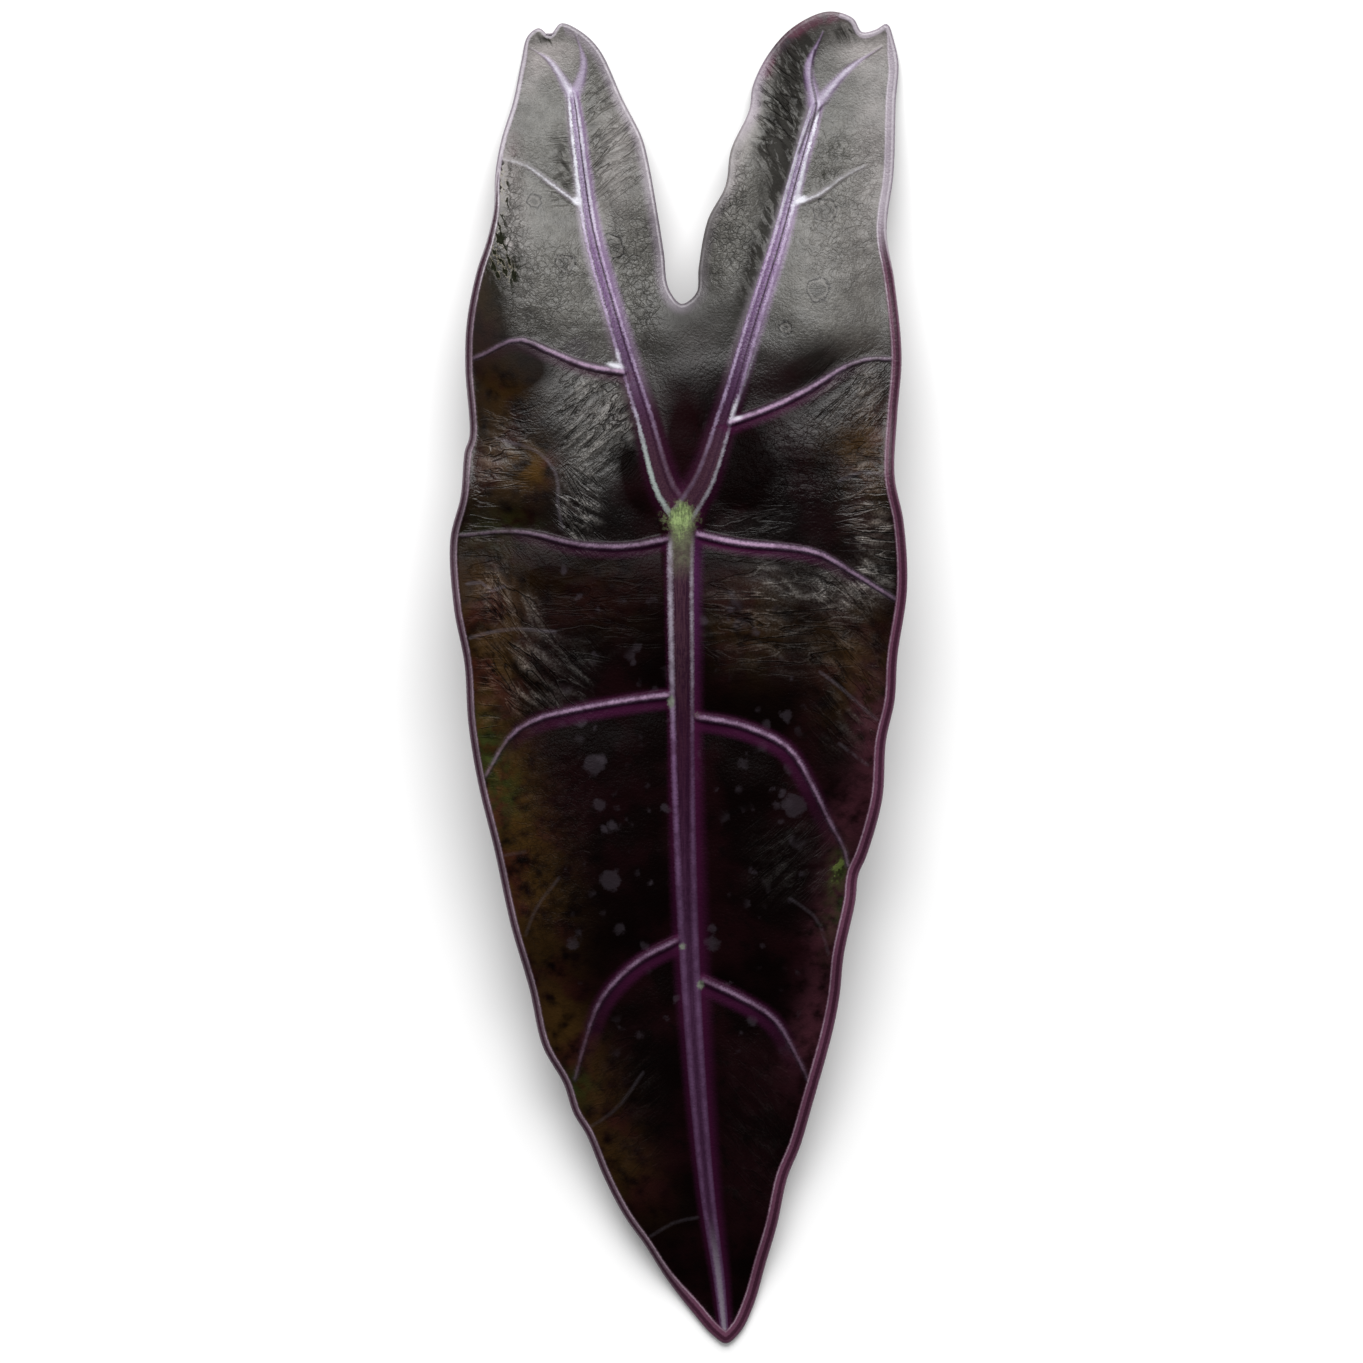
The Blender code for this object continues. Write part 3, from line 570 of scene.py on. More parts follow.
def marks(survey, curves, bare):
    """What the colours are painted by. Distances to ribs are in half-widths, and the others in millimetres.
    A signed one is positive to the right of a rib or above a side vein, and jumps where its side changes, so
    each has an unsigned one beside it."""
    places = survey.places
    found = {"rim": survey.rim, "rim_width": survey.rim_width(), "sinus": survey.sinus()}
    for name, (_, item, reach, _), turn in zip(RIB_NAMES, survey.reaches(), (1, -1, -1)):
        found[name + "_gap"], found[name] = reach, turn * item.side * reach
    gap, which, side, run = nearest(survey.sides)
    upward = np.array([1 if path[-1][0] > path[0][0] else -1 for path in SIDE_VEIN_POINTS])
    found["vein_gap"], found["vein"] = gap, gap * side * upward[which]
    found["vein_purple"] = np.array(VEIN_PURPLES)[which] * smooth(run, 1, 0.25)
    found["vein_pale"] = np.array(VEIN_PALES)[which] * (0.3 + 0.7 * smooth(run, 0.9, 0.2))
    gap, which, _, run = nearest(survey.fine_forks)
    found["fork"] = gap / (0.4 + 0.75 * (1 - run) ** 2) + 1.3 * smooth(run, 0.55, 1)
    found["fork_purple"], found["fork_pale"] = np.array(FORK_PURPLES)[which], np.array(FORK_PALES)[which]
    found["faint"] = nearest(traces(places, curves.faints))[0]
    found["groove"] = nearest(traces(places, curves.grooves))[0]
    for name, zones in ZONES.items():
        found[name] = zone_share(places, zones)
    for name in ("light", "crest", "crease", "net", *GRAINS):
        found[name] = np.zeros(len(places))
    for field, share, fold in survey.folds():
        share = bare * share
        full = share * min(1, field.height / FULL_FOLD)
        found["light"] += share * field.light
        found["crest"] += full * smooth(fold, 0.4, 1.1)
        found["crease"] += full * smooth(fold, 0.25, -0.3)
        apart = {name: abs((field.turn - turn + 90) % 180 - 90) for name, (turn, _, _) in GRAINS.items()}
        found["net" if field.stretch < NET_STRETCH else min(apart, key=apart.get)] += full
    for name, drops, seed in (("ring", RINGS, 31), ("film", FILMS, 32), ("speck", specks(), 33)):
        found[name] = drop_edge(places, drops, seed)
    return found


def flat(verts):
    return np.array([vert.co.xy for vert in verts])


def refined_solid(curves):
    """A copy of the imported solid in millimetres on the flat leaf's axes, its upper face and edge cut finely.
    A layer on its vertices says how far up the edge each lies: 1 on the upper face, 0 on the lower."""
    body = bmesh.new()
    body.from_mesh(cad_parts["leaf"].data)
    bmesh.ops.remove_doubles(body, verts=body.verts[:], dist=1e-6)
    bmesh.ops.scale(body, vec=(1 / MM, 1 / MM, 1 / MM), verts=body.verts[:])
    bmesh.ops.translate(body, vec=-curves.shift, verts=body.verts[:])
    up = body.verts.layers.float.new("share")
    verts = body.verts[:]
    for vert, height in zip(verts, Survey(curves, flat(verts)).middle_layer()):
        vert[up] = float(vert.co.z > height)
    cross = [edge for edge in body.edges if edge.verts[0][up] != edge.verts[1][up]]
    bands = {face for edge in cross for face in edge.link_faces}
    foot = [
        edge for edge in body.edges
        if not any(vert[up] for vert in edge.verts) and any(face in bands for face in edge.link_faces)
    ]
    bmesh.ops.subdivide_edges(body, edges=cross, cuts=EDGE_ROWS, use_grid_fill=True)
    level = [
        edge for edge in body.edges
        if abs(edge.verts[0][up] - edge.verts[1][up]) < LEVEL_SLACK and edge.verts[0][up] > LEVEL_SLACK
    ]
    level += [edge for edge in foot if edge.is_valid]
    bmesh.ops.subdivide_edges(body, edges=level, cuts=FACE_CUTS, use_grid_fill=True)
    bmesh.ops.triangulate(body, faces=[face for face in body.faces if len(face.verts) > 3])
    return body, up


def shape_leaf(curves):
    """The leaf's fine mesh, with the values that it is painted by."""
    body, up = refined_solid(curves)
    verts = body.verts[:]
    shares, places = np.array([vert[up] for vert in verts]), flat(verts)
    body.verts.index_update()
    on_edge = np.zeros(len(verts), bool)
    for face in body.faces:
        levels = [vert[up] for vert in face.verts]
        if max(levels) - min(levels) > LEVEL_SLACK:
            on_edge[[vert.index for vert in face.verts]] = True
    on_top = shares > TOP_SHARE
    near = on_top.copy()
    near[near] = trace(places[near], curves.margin).distance < FINE_MARGIN_REACH
    near |= on_edge
    edge = trace(places[near], curves.fine_margin)
    start = np.where(on_edge[near, None], edge.foot, places[near])
    inset = np.where(on_edge[near], np.abs(2 * shares[near] - 1) ** 3, np.exp(-edge.distance / INSET_REACH))
    places[near] = start - edge.normal * (EDGE_INSET * inset)[:, None]
    survey = Survey(curves, places)
    bare = survey.bare()
    upper, lower = survey.heights(curves, bare)
    solid = np.array([vert.co.z for vert in verts])
    found = marks(survey, curves, bare)
    found["upper"], found["stalk"] = shares, smooth(lower - solid, 0.3, 0.8)
    raised = lower + (upper - lower) * (0.5 + 0.5 * np.sin(pi * (shares - 0.5)))
    moved = np.maximum(solid + survey.middle_layer(fine=True) - survey.middle_layer(), 0)
    for vert, place, height in zip(verts, places, np.where(on_edge | on_top, raised, moved)):
        vert.co = (*place, height)
    return body, found


def add_object(name, data):
    made = bpy.data.objects.new(name, data)
    bpy.context.scene.collection.objects.link(made)
    return made


def add_mesh(name, body, material):
    mesh = bpy.data.meshes.new(name)
    body.to_mesh(mesh)
    body.free()
    mesh.materials.append(material)
    return add_object(name, mesh)


def add_leaf(curves):
    body, found = shape_leaf(curves)
    bmesh.ops.translate(body, vec=curves.shift, verts=body.verts[:])
    bmesh.ops.scale(body, vec=(MM, MM, MM), verts=body.verts[:])
    leaf = add_mesh("leaf_blade", body, skin)
    for name, values in found.items():
        layer = leaf.data.attributes.new(name, "FLOAT", "POINT")
        layer.data.foreach_set("value", values.astype(np.float32))
    leaf.data.shade_smooth()
    leaf.data.set_sharp_from_angle(angle=radians(SHARP_TURN))
    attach(leaf, "root")
    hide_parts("leaf")


# The skin's material, and short calls that build its nodes
skin = bpy.data.materials.new("leaf_skin")
skin.use_nodes = True
tree = skin.node_tree


def feed(socket, value):
    if isinstance(value, bpy.types.NodeSocket):
        tree.links.new(value, socket)
    else:
        socket.default_value = value


def node(kind, values=(), **settings):
    """The outputs of a new node whose first inputs get values, and whose settings or inputs are named."""
    made = tree.nodes.new("ShaderNode" + kind)
    for name, value in settings.items():
        if hasattr(made, name):
            setattr(made, name, value)
        else:
            feed(made.inputs[name], value)
    for socket, value in zip(made.inputs, values):
        feed(socket, value)
    return made.outputs


def chained(operation):
    """A call that runs one operation through all its values."""

    def pair(first, second):
        return node("Math", [first, second], operation=operation)[0]

    return lambda *values: reduce(pair, values)


add, minus, times, least, most = map(chained, ("ADD", "SUBTRACT", "MULTIPLY", "MINIMUM", "MAXIMUM"))


def less(value):
    """1 minus a value, not below 0."""
    return node("Math", [1, value], operation="SUBTRACT", use_clamp=True)[0]


def away(value, centre):
    return node("Math", [minus(value, centre)], operation="ABSOLUTE")[0]


def read(name):
    return node("Attribute", attribute_name=name)["Fac"]


def step(value, low, high, start=0, end=1):
    """Goes evenly from start to end as the value goes from low to high."""
    return node("MapRange", [value, low, high, start, end], interpolation_type="SMOOTHSTEP")[0]


def fade(value, low, high, start=1):
    """Goes evenly from start to 0 as the value goes from low to high."""
    return step(value, low, high, start, 0)


def band(value, centre, half, soft):
    """1 on a band about a centre, fading out over a soft edge."""
    return fade(minus(away(value, centre), half), 0, soft)


def mix(share, first, second, kind="RGBA", first_input=6, output=2):
    """A colour that goes from first to second."""
    made = tree.nodes.new("ShaderNodeMix")
    made.data_type = kind
    for i, value in ((0, share), (first_input, first), (first_input + 1, second)):
        feed(made.inputs[i], value)
    return made.outputs[output]


def blend(share, first, second):
    """A number that goes from first to second."""
    return mix(share, first, second, kind="FLOAT", first_input=2, output=0)


spot = node("VectorMath", [node("TexCoord")["Object"]], operation="SCALE", Scale=1 / MM)[0]
X, Y, _ = node("SeparateXYZ", [spot])


def noise(size, detail=3, stretch=None, rough=0.5, shift=0, bend=0):
    """Noise with features of about a size, in millimetres. A stretch has a turn in degrees and a length."""
    where = spot
    if stretch or shift:
        turn, length = stretch or (0, 1)
        where = node("Mapping", [where], Rotation=(0, 0, -radians(turn)), Location=(shift, shift, 0))[0]
        where = node("VectorMath", [where, (1 / length, 1, 1)], operation="MULTIPLY")[0]
    return node("TexNoise", Vector=where, Scale=1 / size, Detail=detail, Roughness=rough, Distortion=bend)[0]


def cells(size, bend):
    """Distance to the edges of uneven cells of about a size: 0 at an edge, up to about 0.5 between."""
    swirl = node("TexNoise", Vector=spot, Scale=0.7 / size, Detail=2)[1]
    swirl = node("VectorMath", [swirl, (0.5, 0.5, 0.5)], operation="SUBTRACT")[0]
    swirl = node("VectorMath", [swirl], operation="SCALE", Scale=bend)[0]
    where = node("VectorMath", [spot, swirl], operation="ADD")[0]
    return node("TexVoronoi", feature="DISTANCE_TO_EDGE", Vector=where, Scale=1 / size)[0]


# Fine grain over the whole skin, and uneven wear of its pale lines
grain = noise(0.4, rough=0.6)
worn = step(noise(2.4, 4, shift=41), 0.36, 0.58, 0.5)


def shaken(value, amount, by=grain):
    """A distance made uneven by fine noise, so that what is painted by it has ragged edges."""
    return add(value, times(minus(by, 0.5), amount))


def blot(name, amount, low, high, by=grain):
    """A painted zone with ragged edges, and nothing outside the zone."""
    zone = read(name)
    return times(step(shaken(zone, amount, by), low, high), step(zone, 0.03, 0.15))


def tint(red, green, blue):
    """A linear colour from screen values of 0 to 255."""
    shares = [value / 255 for value in (red, green, blue)]
    return (*[x / 12.92 if x < 0.04045 else ((x + 0.055) / 1.055) ** 2.4 for x in shares], 1)


# Colours of the living leaf, and of its painted sheen, highlights and shade
NIGHT, WINE, NEAR_BLACK_AND_SHADE = tint(7, 2, 2), tint(18, 4, 6), tint(5, 3, 3)
BROWN, RUST, MOSS = tint(64, 44, 16), tint(62, 30, 20), tint(34, 44, 16)
LEAF_GREEN, HUB_GREEN, STALK_GREEN = tint(74, 92, 40), tint(138, 158, 104), tint(92, 104, 60)
PAINTED_SHEEN_GREY, HIGHLIGHT_AND_RING_GREY, HIGHLIGHT_TAN = tint(92, 90, 85), tint(126, 122, 118), tint(136, 108, 84)
PLUM, SCAR, FILM = tint(72, 36, 46), tint(22, 24, 12), tint(52, 46, 52)
SCAR_GOLD, VIOLET, HUB_DARK = tint(124, 116, 94), tint(64, 26, 62), tint(64, 78, 48)
HAZE, LOW_PURPLE = tint(58, 15, 46), tint(60, 35, 58)
HIGH_PURPLE, TOP_PURPLE = tint(114, 86, 126), tint(142, 126, 154)
DARK_LINE, LAVENDER, SILVER = tint(30, 9, 28), tint(160, 142, 170), tint(206, 206, 214)
LOBE_GLOW, PAINTED_SHEEN_PALE, LOBE_DARK = tint(128, 118, 130), tint(150, 143, 142), tint(54, 53, 50)
LINE_PURPLE, RIB_WINE, RIB_BROWN = tint(100, 74, 104), tint(40, 15, 28), tint(58, 36, 46)
RIB_PALE, RIB_MINT, RIB_GREY = tint(140, 132, 144), tint(164, 176, 172), tint(88, 90, 72)
PINK_LINE, JOINT_GREY = tint(156, 128, 154), tint(112, 120, 104)
RIM_MAUVE, RIM_SLATE, RIM_LOBE = tint(84, 50, 68), tint(80, 66, 74), tint(152, 138, 156)
RIM_PALE, RIM_DARK, RIM_WHITE = tint(134, 116, 128), tint(46, 20, 34), tint(196, 190, 196)
UNDER, UNDER_RIB = tint(74, 24, 48), tint(150, 110, 120)

coats = [NIGHT]


def lay(colour, *shares):
    """Lays a colour over the coats so far, as strongly as its shares multiplied."""
    coats.append(mix(times(*shares), coats[-1], colour))


def fine_folds():
    """The finest ridges, which are thin lines along the turn of each long-ridged field and a net of cracks
    in the others, and the cuts that run beside them. The lines are painted as highlights and the cuts as
    shade, and both are also in the relief."""
    net = least(read("net"), 1)
    lines = [times(band(noise(2.2, shift=71, bend=0.6), 0.5, 0, 0.045), net)]
    cuts = [times(fade(cells(1.5, 1.6), 0, 0.12, 0.8), net)]
    for i, (name, (turn, spacing, length)) in enumerate(GRAINS.items()):
        where = noise(spacing, stretch=(turn, length), shift=13 * i + 2, bend=0.5)
        share, thin = read(name), 0.12 / spacing
        lines.append(times(band(where, 0.5, 0, thin), share))
        cuts.append(times(band(where, 0.5 - 1.4 * thin, 0, 0.6 * thin), share))
    return least(add(*lines), 1), least(add(*cuts), 1)


def paint_lamina(lines, cuts):
    """Near-black maroon, browner and greener along the left margin, with a painted grey sheen on the lobes,
    painted highlights on its wrinkle crests and painted shade in its creases and shade zones. Says where the
    painted sheen is, and where the skin is dull."""
    # Where the painted shade lies, broken into strokes on the lobes
    strokes = step(noise(1.1, stretch=(120, 3.5), rough=0.6, shift=81, bend=0.5), 0.4, 0.58, 0.4, 1.25)
    shade = least(times(read("shade"), blend(step(Y, 72, 90), 1, strokes)), 1)
    lay(WINE, step(noise(15), 0.42, 0.62))
    lay(NEAR_BLACK_AND_SHADE, step(noise(2.6, 4, rough=0.65), 0.5, 0.7), 0.6)
    brown = read("brown")
    rust = mix(step(noise(9, shift=23), 0.48, 0.62), BROWN, RUST)
    lay(rust, least(times(brown, step(noise(3.6, 5, shift=7), 0.25, 0.6)), 0.95))
    green = times(read("green"), step(noise(2.2, 4, shift=3), 0.3, 0.62))
    lay(MOSS, least(green, 0.8))
    lay(LEAF_GREEN, step(green, 0.8, 1.3), 0.8)
    lobe = times(step(Y, 60, 84, 0, 0.85), less(brown))
    lay(LOBE_DARK, lobe)
    # Painted shade on the lobes in the shade zones
    lay(NEAR_BLACK_AND_SHADE, lobe, shade, 0.5)
    patch = step(noise(3.5, 5, rough=0.6, shift=11), 0.32, 0.62, 0.55)
    # Painted sheen: grey in patches on the lobes, less in the painted shade
    painted_sheen = times(least(read("painted_sheen"), 1), patch, less(times(shade, 0.85)))
    lay(PAINTED_SHEEN_GREY, painted_sheen, step(grain, 0.3, 0.7, 0.5))
    # Paler painted sheen in the pale zones
    lay(PAINTED_SHEEN_PALE, read("pale"), patch, less(shade), 0.7)
    # Painted highlights along the wrinkle crests and fine ridge lines, tan where the leaf is brown
    crest = add(0.07, times(read("crest"), 0.75), times(lines, 0.5))
    crest = times(read("light"), crest, less(shade), step(noise(5, shift=101), 0.38, 0.58, 0.35))
    crest = times(crest, step(grain, 0.36, 0.62, 0.35, 1.2))
    lay(mix(times(brown, 1.4), HIGHLIGHT_AND_RING_GREY, HIGHLIGHT_TAN), crest, 0.8)
    # Painted shade in the cuts beside the fine ridges and in the creases between the wrinkles
    calm = blend(painted_sheen, 1, 0.45)
    cuts = times(cuts, calm)
    lay(NEAR_BLACK_AND_SHADE, cuts, 0.9)
    crease = times(read("crease"), step(grain, 0.3, 0.6, 1, 0.6), calm)
    lay(NEAR_BLACK_AND_SHADE, crease, 0.88)
    lay(PLUM, least(times(read("plum"), step(noise(3.2, 4, shift=31), 0.25, 0.65)), 0.9))
    scar, torn = read("scar"), noise(1, stretch=(104, 3.4), bend=0.5)
    lay(SCAR_GOLD, step(scar, 0.7, 1.2), band(torn, 0.49, 0, 0.03), 0.6)
    torn = times(scar, step(torn, 0.51, 0.55))
    lay(SCAR, least(torn, 0.95))
    low = times(step(Y, 46, 20), less(times(crest, 1.2)), 0.97)
    patches = step(noise(2.6, 6, rough=0.65, shift=91), 0.38, 0.66, 0, 0.3)
    return painted_sheen, most(crease, cuts, patches, shade, torn, low)


def paint_drops():
    """Rings and films of dried drops."""
    ring = read("ring")
    lay(NEAR_BLACK_AND_SHADE, fade(ring, -0.5, 0.1, 0.35))
    lay(NIGHT, band(ring, 0, 0.08, 0.26), 0.7)
    lay(HIGHLIGHT_AND_RING_GREY, band(ring, -0.45, 0.08, 0.35), 0.3)
    lay(FILM, fade(shaken(read("film"), 1.2), -0.6, 0.3), 0.4)
    lay(FILM, fade(shaken(read("speck"), 1.2), -0.6, 0.3), step(noise(7, 2, shift=5), 0.35, 0.65), 0.5)


def paint_basal_rib(name, edges):
    """Purple rib with two fine dark lines and pale ragged edges, paler and fuzzier on the lobe. Near the hub
    only its outer edge is pale."""
    across, span, shade = read(name), read(name + "_gap"), read("shade")
    near, base = fade(span, 2.6, 3), step(Y, 62, 44)
    high, top = step(Y, 52, 88), step(Y, 88, 106)
    haze = times(near, fade(shaken(span, 0.8), 0.9, 2.2), blend(high, 0.4, less(times(shade, 0.9))))
    lay(mix(high, HAZE, LOBE_GLOW), haze, 0.9)
    lay(HIGH_PURPLE, near, high, band(shaken(across, 1.1), 1, 0.15, 0.9), 0.6, less(shade))
    on = fade(shaken(span, 0.3), 0.85, 1.15)
    body = mix(base, mix(top, mix(high, LOW_PURPLE, HIGH_PURPLE), TOP_PURPLE), RIB_BROWN)
    lay(mix(step(noise(0.3, shift=51), 0.35, 0.65, 0, 0.5), body, DARK_LINE), on)
    for centre, strength in ((0.33, 0.9), (-0.7, 0.75)):
        dark = band(shaken(across, 0.25), centre, 0.03, 0.17)
        lay(DARK_LINE, on, dark, blend(high, 0.5 * strength, strength))
    ragged = shaken(across, blend(base, 0.8, 0.35))
    ragged = shaken(ragged, blend(base, 0.3, 0.12), by=noise(1.2, rough=0.6, shift=17))
    for place, strength, white, wider in edges:
        whiter = times(base, white)
        half = add(blend(top, 0.03, 0.1), times(whiter, wider))
        inner = 1 if white else times(blend(base, 1, 0.25), blend(top, 1, 0.5))
        pale = mix(whiter, mix(top, LAVENDER, SILVER), RIB_MINT)
        line = times(near, band(ragged, place, half, 0.28), most(worn, whiter))
        lay(pale, line, blend(high, strength, 0.85), inner)


def paint_veins():
    """Side veins: a pale ridge line in a purple haze, with a painted shadow right below the line. Forks are
    fuzzier.
    Says where the haze is."""
    vein, gap, purple = read("vein"), read("vein_gap"), read("vein_purple")
    near, wide = fade(gap, 3.8, 4.6), blend(step(Y, 10, -6), 0.6, 1.1)
    haze = times(near, purple, band(shaken(vein, 1), -0.8, wide, 1.8))
    lay(HAZE, haze, 0.75)
    # Painted shadow right below each side vein's ridge
    below = times(near, purple, band(vein, -0.85, 0.12, 0.4))
    lay(DARK_LINE, below, 0.65)
    ragged, high, pale = shaken(gap, 0.9), step(Y, 80, 96), times(read("vein_pale"), worn)
    lay(LAVENDER, fade(ragged, 0.1, 1), pale, 0.35)
    lay(mix(high, PINK_LINE, SILVER), fade(ragged, 0, blend(high, 0.55, 0.35)), pale)
    fork = shaken(read("fork"), 1)
    lay(HIGH_PURPLE, fade(fork, 0.5, 2.4), read("fork_purple"), 0.6)
    lay(TOP_PURPLE, fade(fork, 0.3, 1.7), 0.6)
    lay(SILVER, fade(fork, -0.1, 1.1, 0.75), read("fork_pale"), worn)
    lay(DARK_LINE, fade(shaken(read("groove"), 0.3), 0.1, 0.45, 0.7))
    lay(RIB_PALE, fade(shaken(read("faint"), 0.35), 0, 0.6, 0.15), step(Y, -40, 30, 0.35))
    return most(haze, below)


def paint_midrib():
    """Brown-mauve band between two pale grainy lines. Lower down it is purple, and its lines are wide."""
    across, span = read("midrib"), read("midrib_gap")
    right, low, past = step(across, -0.6, 0.6), step(Y, 0, -70), step(Y, 8, -16)
    violet = mix(times(right, step(Y, -10, 20)), HAZE, VIOLET)
    reach = add(blend(right, 1.6, 2.2), times(low, 0.7))
    strength = times(blend(right, 0.9, 1), step(Y, 20, -60, 1, 0.65), step(Y, 34, 24))
    lay(violet, fade(shaken(span, 0.7), 0.8, reach), strength)
    on = times(fade(span, 0.95, 1.2), step(Y, 33.5, 31))
    streak = step(noise(0.35, stretch=(90, 16), rough=0.6), 0.4, 0.6)
    middle = mix(low, mix(past, RIB_BROWN, RIB_WINE), LOW_PURPLE)
    lay(mix(times(streak, blend(low, 0.65, 0.3)), middle, DARK_LINE), on)
    dark = band(across, blend(low, 0.55, 0), 0.05, blend(low, 0.14, 0.35))
    lay(DARK_LINE, on, dark, blend(low, 0.5, 0.3))
    half = blend(low, blend(right, 0.36, 0.27), 0.55)
    line = fade(shaken(away(span, blend(low, 0.9, 0.7)), 0.35), 0, half)
    bright = blend(low, blend(right, 1, blend(past, 0.65, 0.45)), 0.4)
    lay(mix(past, RIB_PALE, LINE_PURPLE), line, bright, step(Y, 30.5, 26.5), worn)
    lay(RIB_PALE, step(Y, -112, -128), fade(shaken(span, 0.5), 0.2, 0.8), 0.55)
    lay(JOINT_GREY, blot("joint", 0.9, 0.3, 0.8), 0.7)


def paint_hub():
    """Yellow-green where the ribs meet, fading into the top of the midrib."""
    cloud = noise(1.3, rough=0.6, shift=61)
    wash = times(fade(read("midrib_gap"), 0.6, 1.15), step(Y, 19, 28), step(Y, 36, 33))
    lay(RIB_GREY, wash, step(cloud, 0.35, 0.65, 0.9, 0.4))
    rays = step(noise(0.5, stretch=(90, 4), rough=0.6), 0.4, 0.65, 0, 0.75)
    green = mix(rays, mix(step(cloud, 0.45, 0.7), HUB_GREEN, RIB_GREY), HUB_DARK)
    lay(green, blot("hub", 2.7, 0.1, 1, by=blend(0.33, cloud, grain)), 0.9)


def paint_rim():
    """Mauve rim with a pale inner line and a dark line outside it. On the lobes it is pale with two fine
    lines, and the sinus has only a white hairline. Says where the rim is dull."""
    rim, width, sinus = shaken(read("rim"), 0.4), read("rim_width"), read("sinus")
    right = step(X, -5, 5)
    lobe = step(add(Y, times(right, 12)), 96, 112)
    wide = times(step(Y, 110, 120), step(X, 21, 17))
    lay(RIM_LOBE, sinus, fade(rim, 0.8, 3), blend(right, 0.35, blend(wide, 0.1, 0.45)))
    lay(RIM_WHITE, sinus, band(rim, 0.6, 0.05, 0.25), blend(right, 0.5, 0.12), worn)
    outer = less(sinus)
    on = times(outer, fade(minus(rim, width), -0.2, 0.3))
    lay(mix(lobe, mix(right, RIM_SLATE, RIM_MAUVE), RIM_LOBE), on, blend(lobe, 1, 0.5))
    dark = band(rim, times(width, 0.42), blend(right, 0.1, 0.25), 0.25)
    lay(RIM_DARK, outer, dark, blend(lobe, 0.85, 0.1))
    white = mix(step(Y, 74, 92), RIM_PALE, RIM_WHITE)
    lay(white, outer, band(rim, minus(width, 0.15), 0.02, 0.22), worn, blend(lobe, 0.75, 0.3))
    lay(white, outer, band(rim, blend(lobe, 0, 0.55), 0.1, 0.25), blend(lobe, 0.35, 0.4))
    return times(on, less(lobe), 0.6)


def paint_under(ribs):
    """Wine-purple lower face with paler ribs, and the green stalk end."""
    under = mix(step(noise(8, 4), 0.35, 0.65), UNDER, WINE)
    under = mix(fade(ribs, 0.5, 1.4, 0.8), under, UNDER_RIB)
    under = mix(fade(least(read("vein_gap"), read("fork")), 0.3, 1.3, 0.7), under, UNDER_RIB)
    stalk = mix(step(noise(1.5, stretch=(90, 6)), 0.4, 0.65), STALK_GREEN, RIM_MAUVE)
    under = mix(read("stalk"), under, stalk)
    coats.append(mix(step(read("upper"), 0.35, 0.65), under, coats[-1]))


def paint_skin():
    """Waxy satin skin: its colours, where it is dull, and its finest relief."""
    lines, cuts = fine_folds()
    painted_sheen, dull = paint_lamina(lines, cuts)
    paint_drops()
    for name, edges in RIB_EDGES.items():
        paint_basal_rib(name, edges)
    haze = paint_veins()
    paint_midrib()
    lay(SILVER, blot("silver", 1, 0.1, 1.2), 0.75)
    paint_hub()
    matt_rim = paint_rim()
    ribs = least(*[read(name + "_gap") for name in RIB_NAMES])
    paint_under(ribs)
    shader = tree.nodes["Principled BSDF"].inputs
    feed(shader["Base Color"], coats[-1])
    fine, leather = noise(0.9, 5, rough=0.65), step(cells(0.9, 0.8), 0, 0.3)
    feed(shader["Roughness"], add(0.26, times(fine, 0.1), times(painted_sheen, 0.07), times(dull, 0.08)))
    near = times(fade(ribs, 1.5, 2.8), step(Y, 76, 56))
    feed(shader["Specular IOR Level"], blend(most(dull, matt_rim, near, haze), 0.5, 0.02))
    relief = ((fine, 0.14), (grain, 0.05), (leather, 0.02), (lines, 0.18), (cuts, -0.12))
    height = add(*[times(part, strength) for part, strength in relief])
    feed(shader["Normal"], node("Bump", Strength=1, Distance=MM, Height=height)[0])


def floor_paper():
    """Plain pale paper."""
    material = bpy.data.materials.new("floor_paper")
    material.use_nodes = True
    shader = material.node_tree.nodes["Principled BSDF"]
    for name, value in PAPER_LOOKS.items():
        shader.inputs[name].default_value = value
    return material


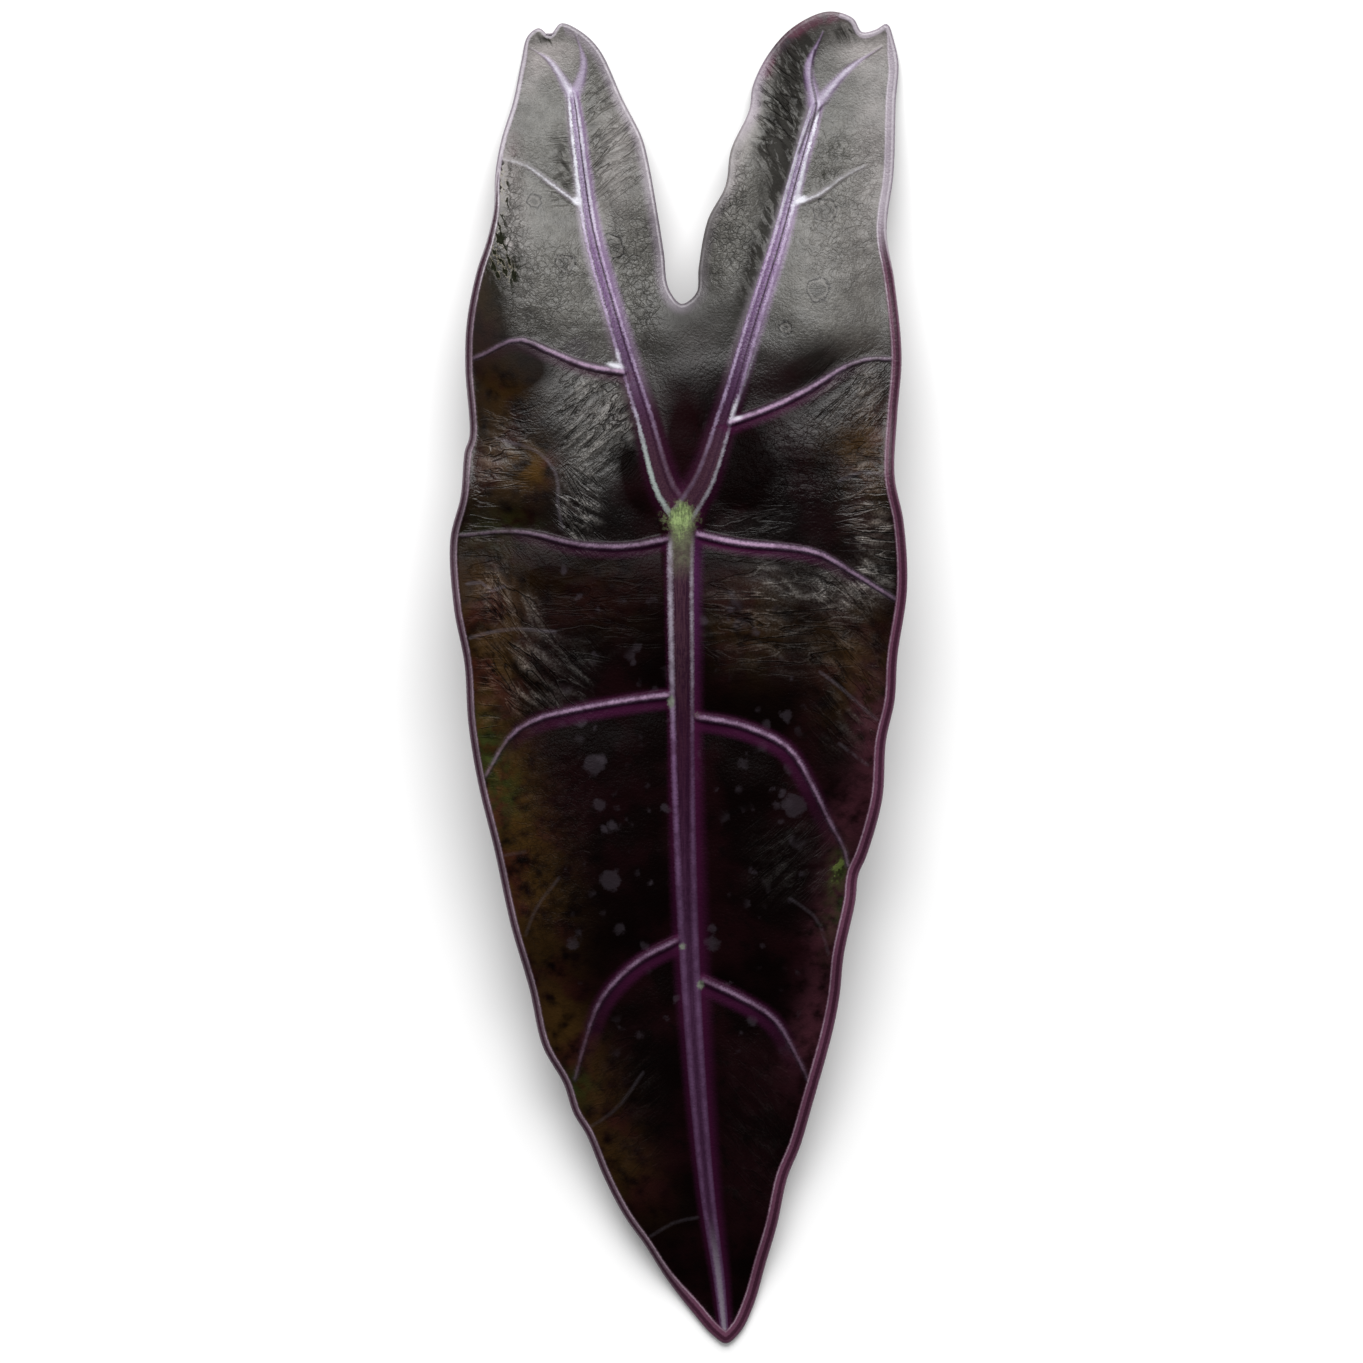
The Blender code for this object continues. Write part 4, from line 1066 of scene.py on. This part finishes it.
# The studio, in metres, watts and millimetres of sensor
FLOOR_HALF, FLOOR_LEVEL = 9.0, -0.0002
PAPER_LOOKS = {"Base Color": (0.9, 0.9, 0.9, 1), "Roughness": 0.9, "Specular IOR Level": 0.1}
PANEL_PLACE, PANEL_SIZE, PANEL_POWER = (0, 1.65, 1.45), (2.3, 1.7), 78
SKY = {"Color": (1, 1, 1, 1), "Strength": 0.45}
SENSOR_WIDTH = 36.0
PICTURE_WIDTH = 0.2862  # that the picture spans at the leaf
CAMERA_HEIGHT = 4.0
LEAF_LEVEL = 0.012


def add_floor():
    body = bmesh.new()
    bmesh.ops.create_grid(body, x_segments=1, y_segments=1, size=FLOOR_HALF)
    floor = add_mesh("floor", body, floor_paper())
    floor.location.z = FLOOR_LEVEL


def add_panel():
    """A wide soft lamp beyond the lobes, which catch its sheen."""
    light = bpy.data.lights.new("window_panel", "AREA")
    light.shape = "RECTANGLE"
    light.size, light.size_y = PANEL_SIZE
    light.energy = PANEL_POWER
    lamp = add_object("window_panel", light)
    lamp.location = PANEL_PLACE
    lamp.rotation_mode = "QUATERNION"
    lamp.rotation_quaternion = Vector(PANEL_PLACE).to_track_quat("Z", "Y")
    lamp.visible_camera = False


def add_sky():
    """Even light that the wax doesn't mirror."""
    world = bpy.data.worlds.new("studio")
    bpy.context.scene.world = world
    world.use_nodes = True
    for name, value in SKY.items():
        world.node_tree.nodes["Background"].inputs[name].default_value = value
    world.cycles_visibility.glossy = False


def add_camera(curves):
    lens = bpy.data.cameras.new("camera")
    lens.sensor_width = SENSOR_WIDTH
    lens.lens = SENSOR_WIDTH * CAMERA_HEIGHT / PICTURE_WIDTH
    lens.clip_end = 50
    camera = add_object("camera", lens)
    camera.location = curves.shift * MM + Vector((0, 0, LEAF_LEVEL + CAMERA_HEIGHT))
    bpy.context.scene.camera = camera
    bpy.context.scene.view_settings.view_transform = "Standard"


curves = Curves()
add_floor()
add_panel()
add_sky()
add_camera(curves)
paint_skin()
add_leaf(curves)
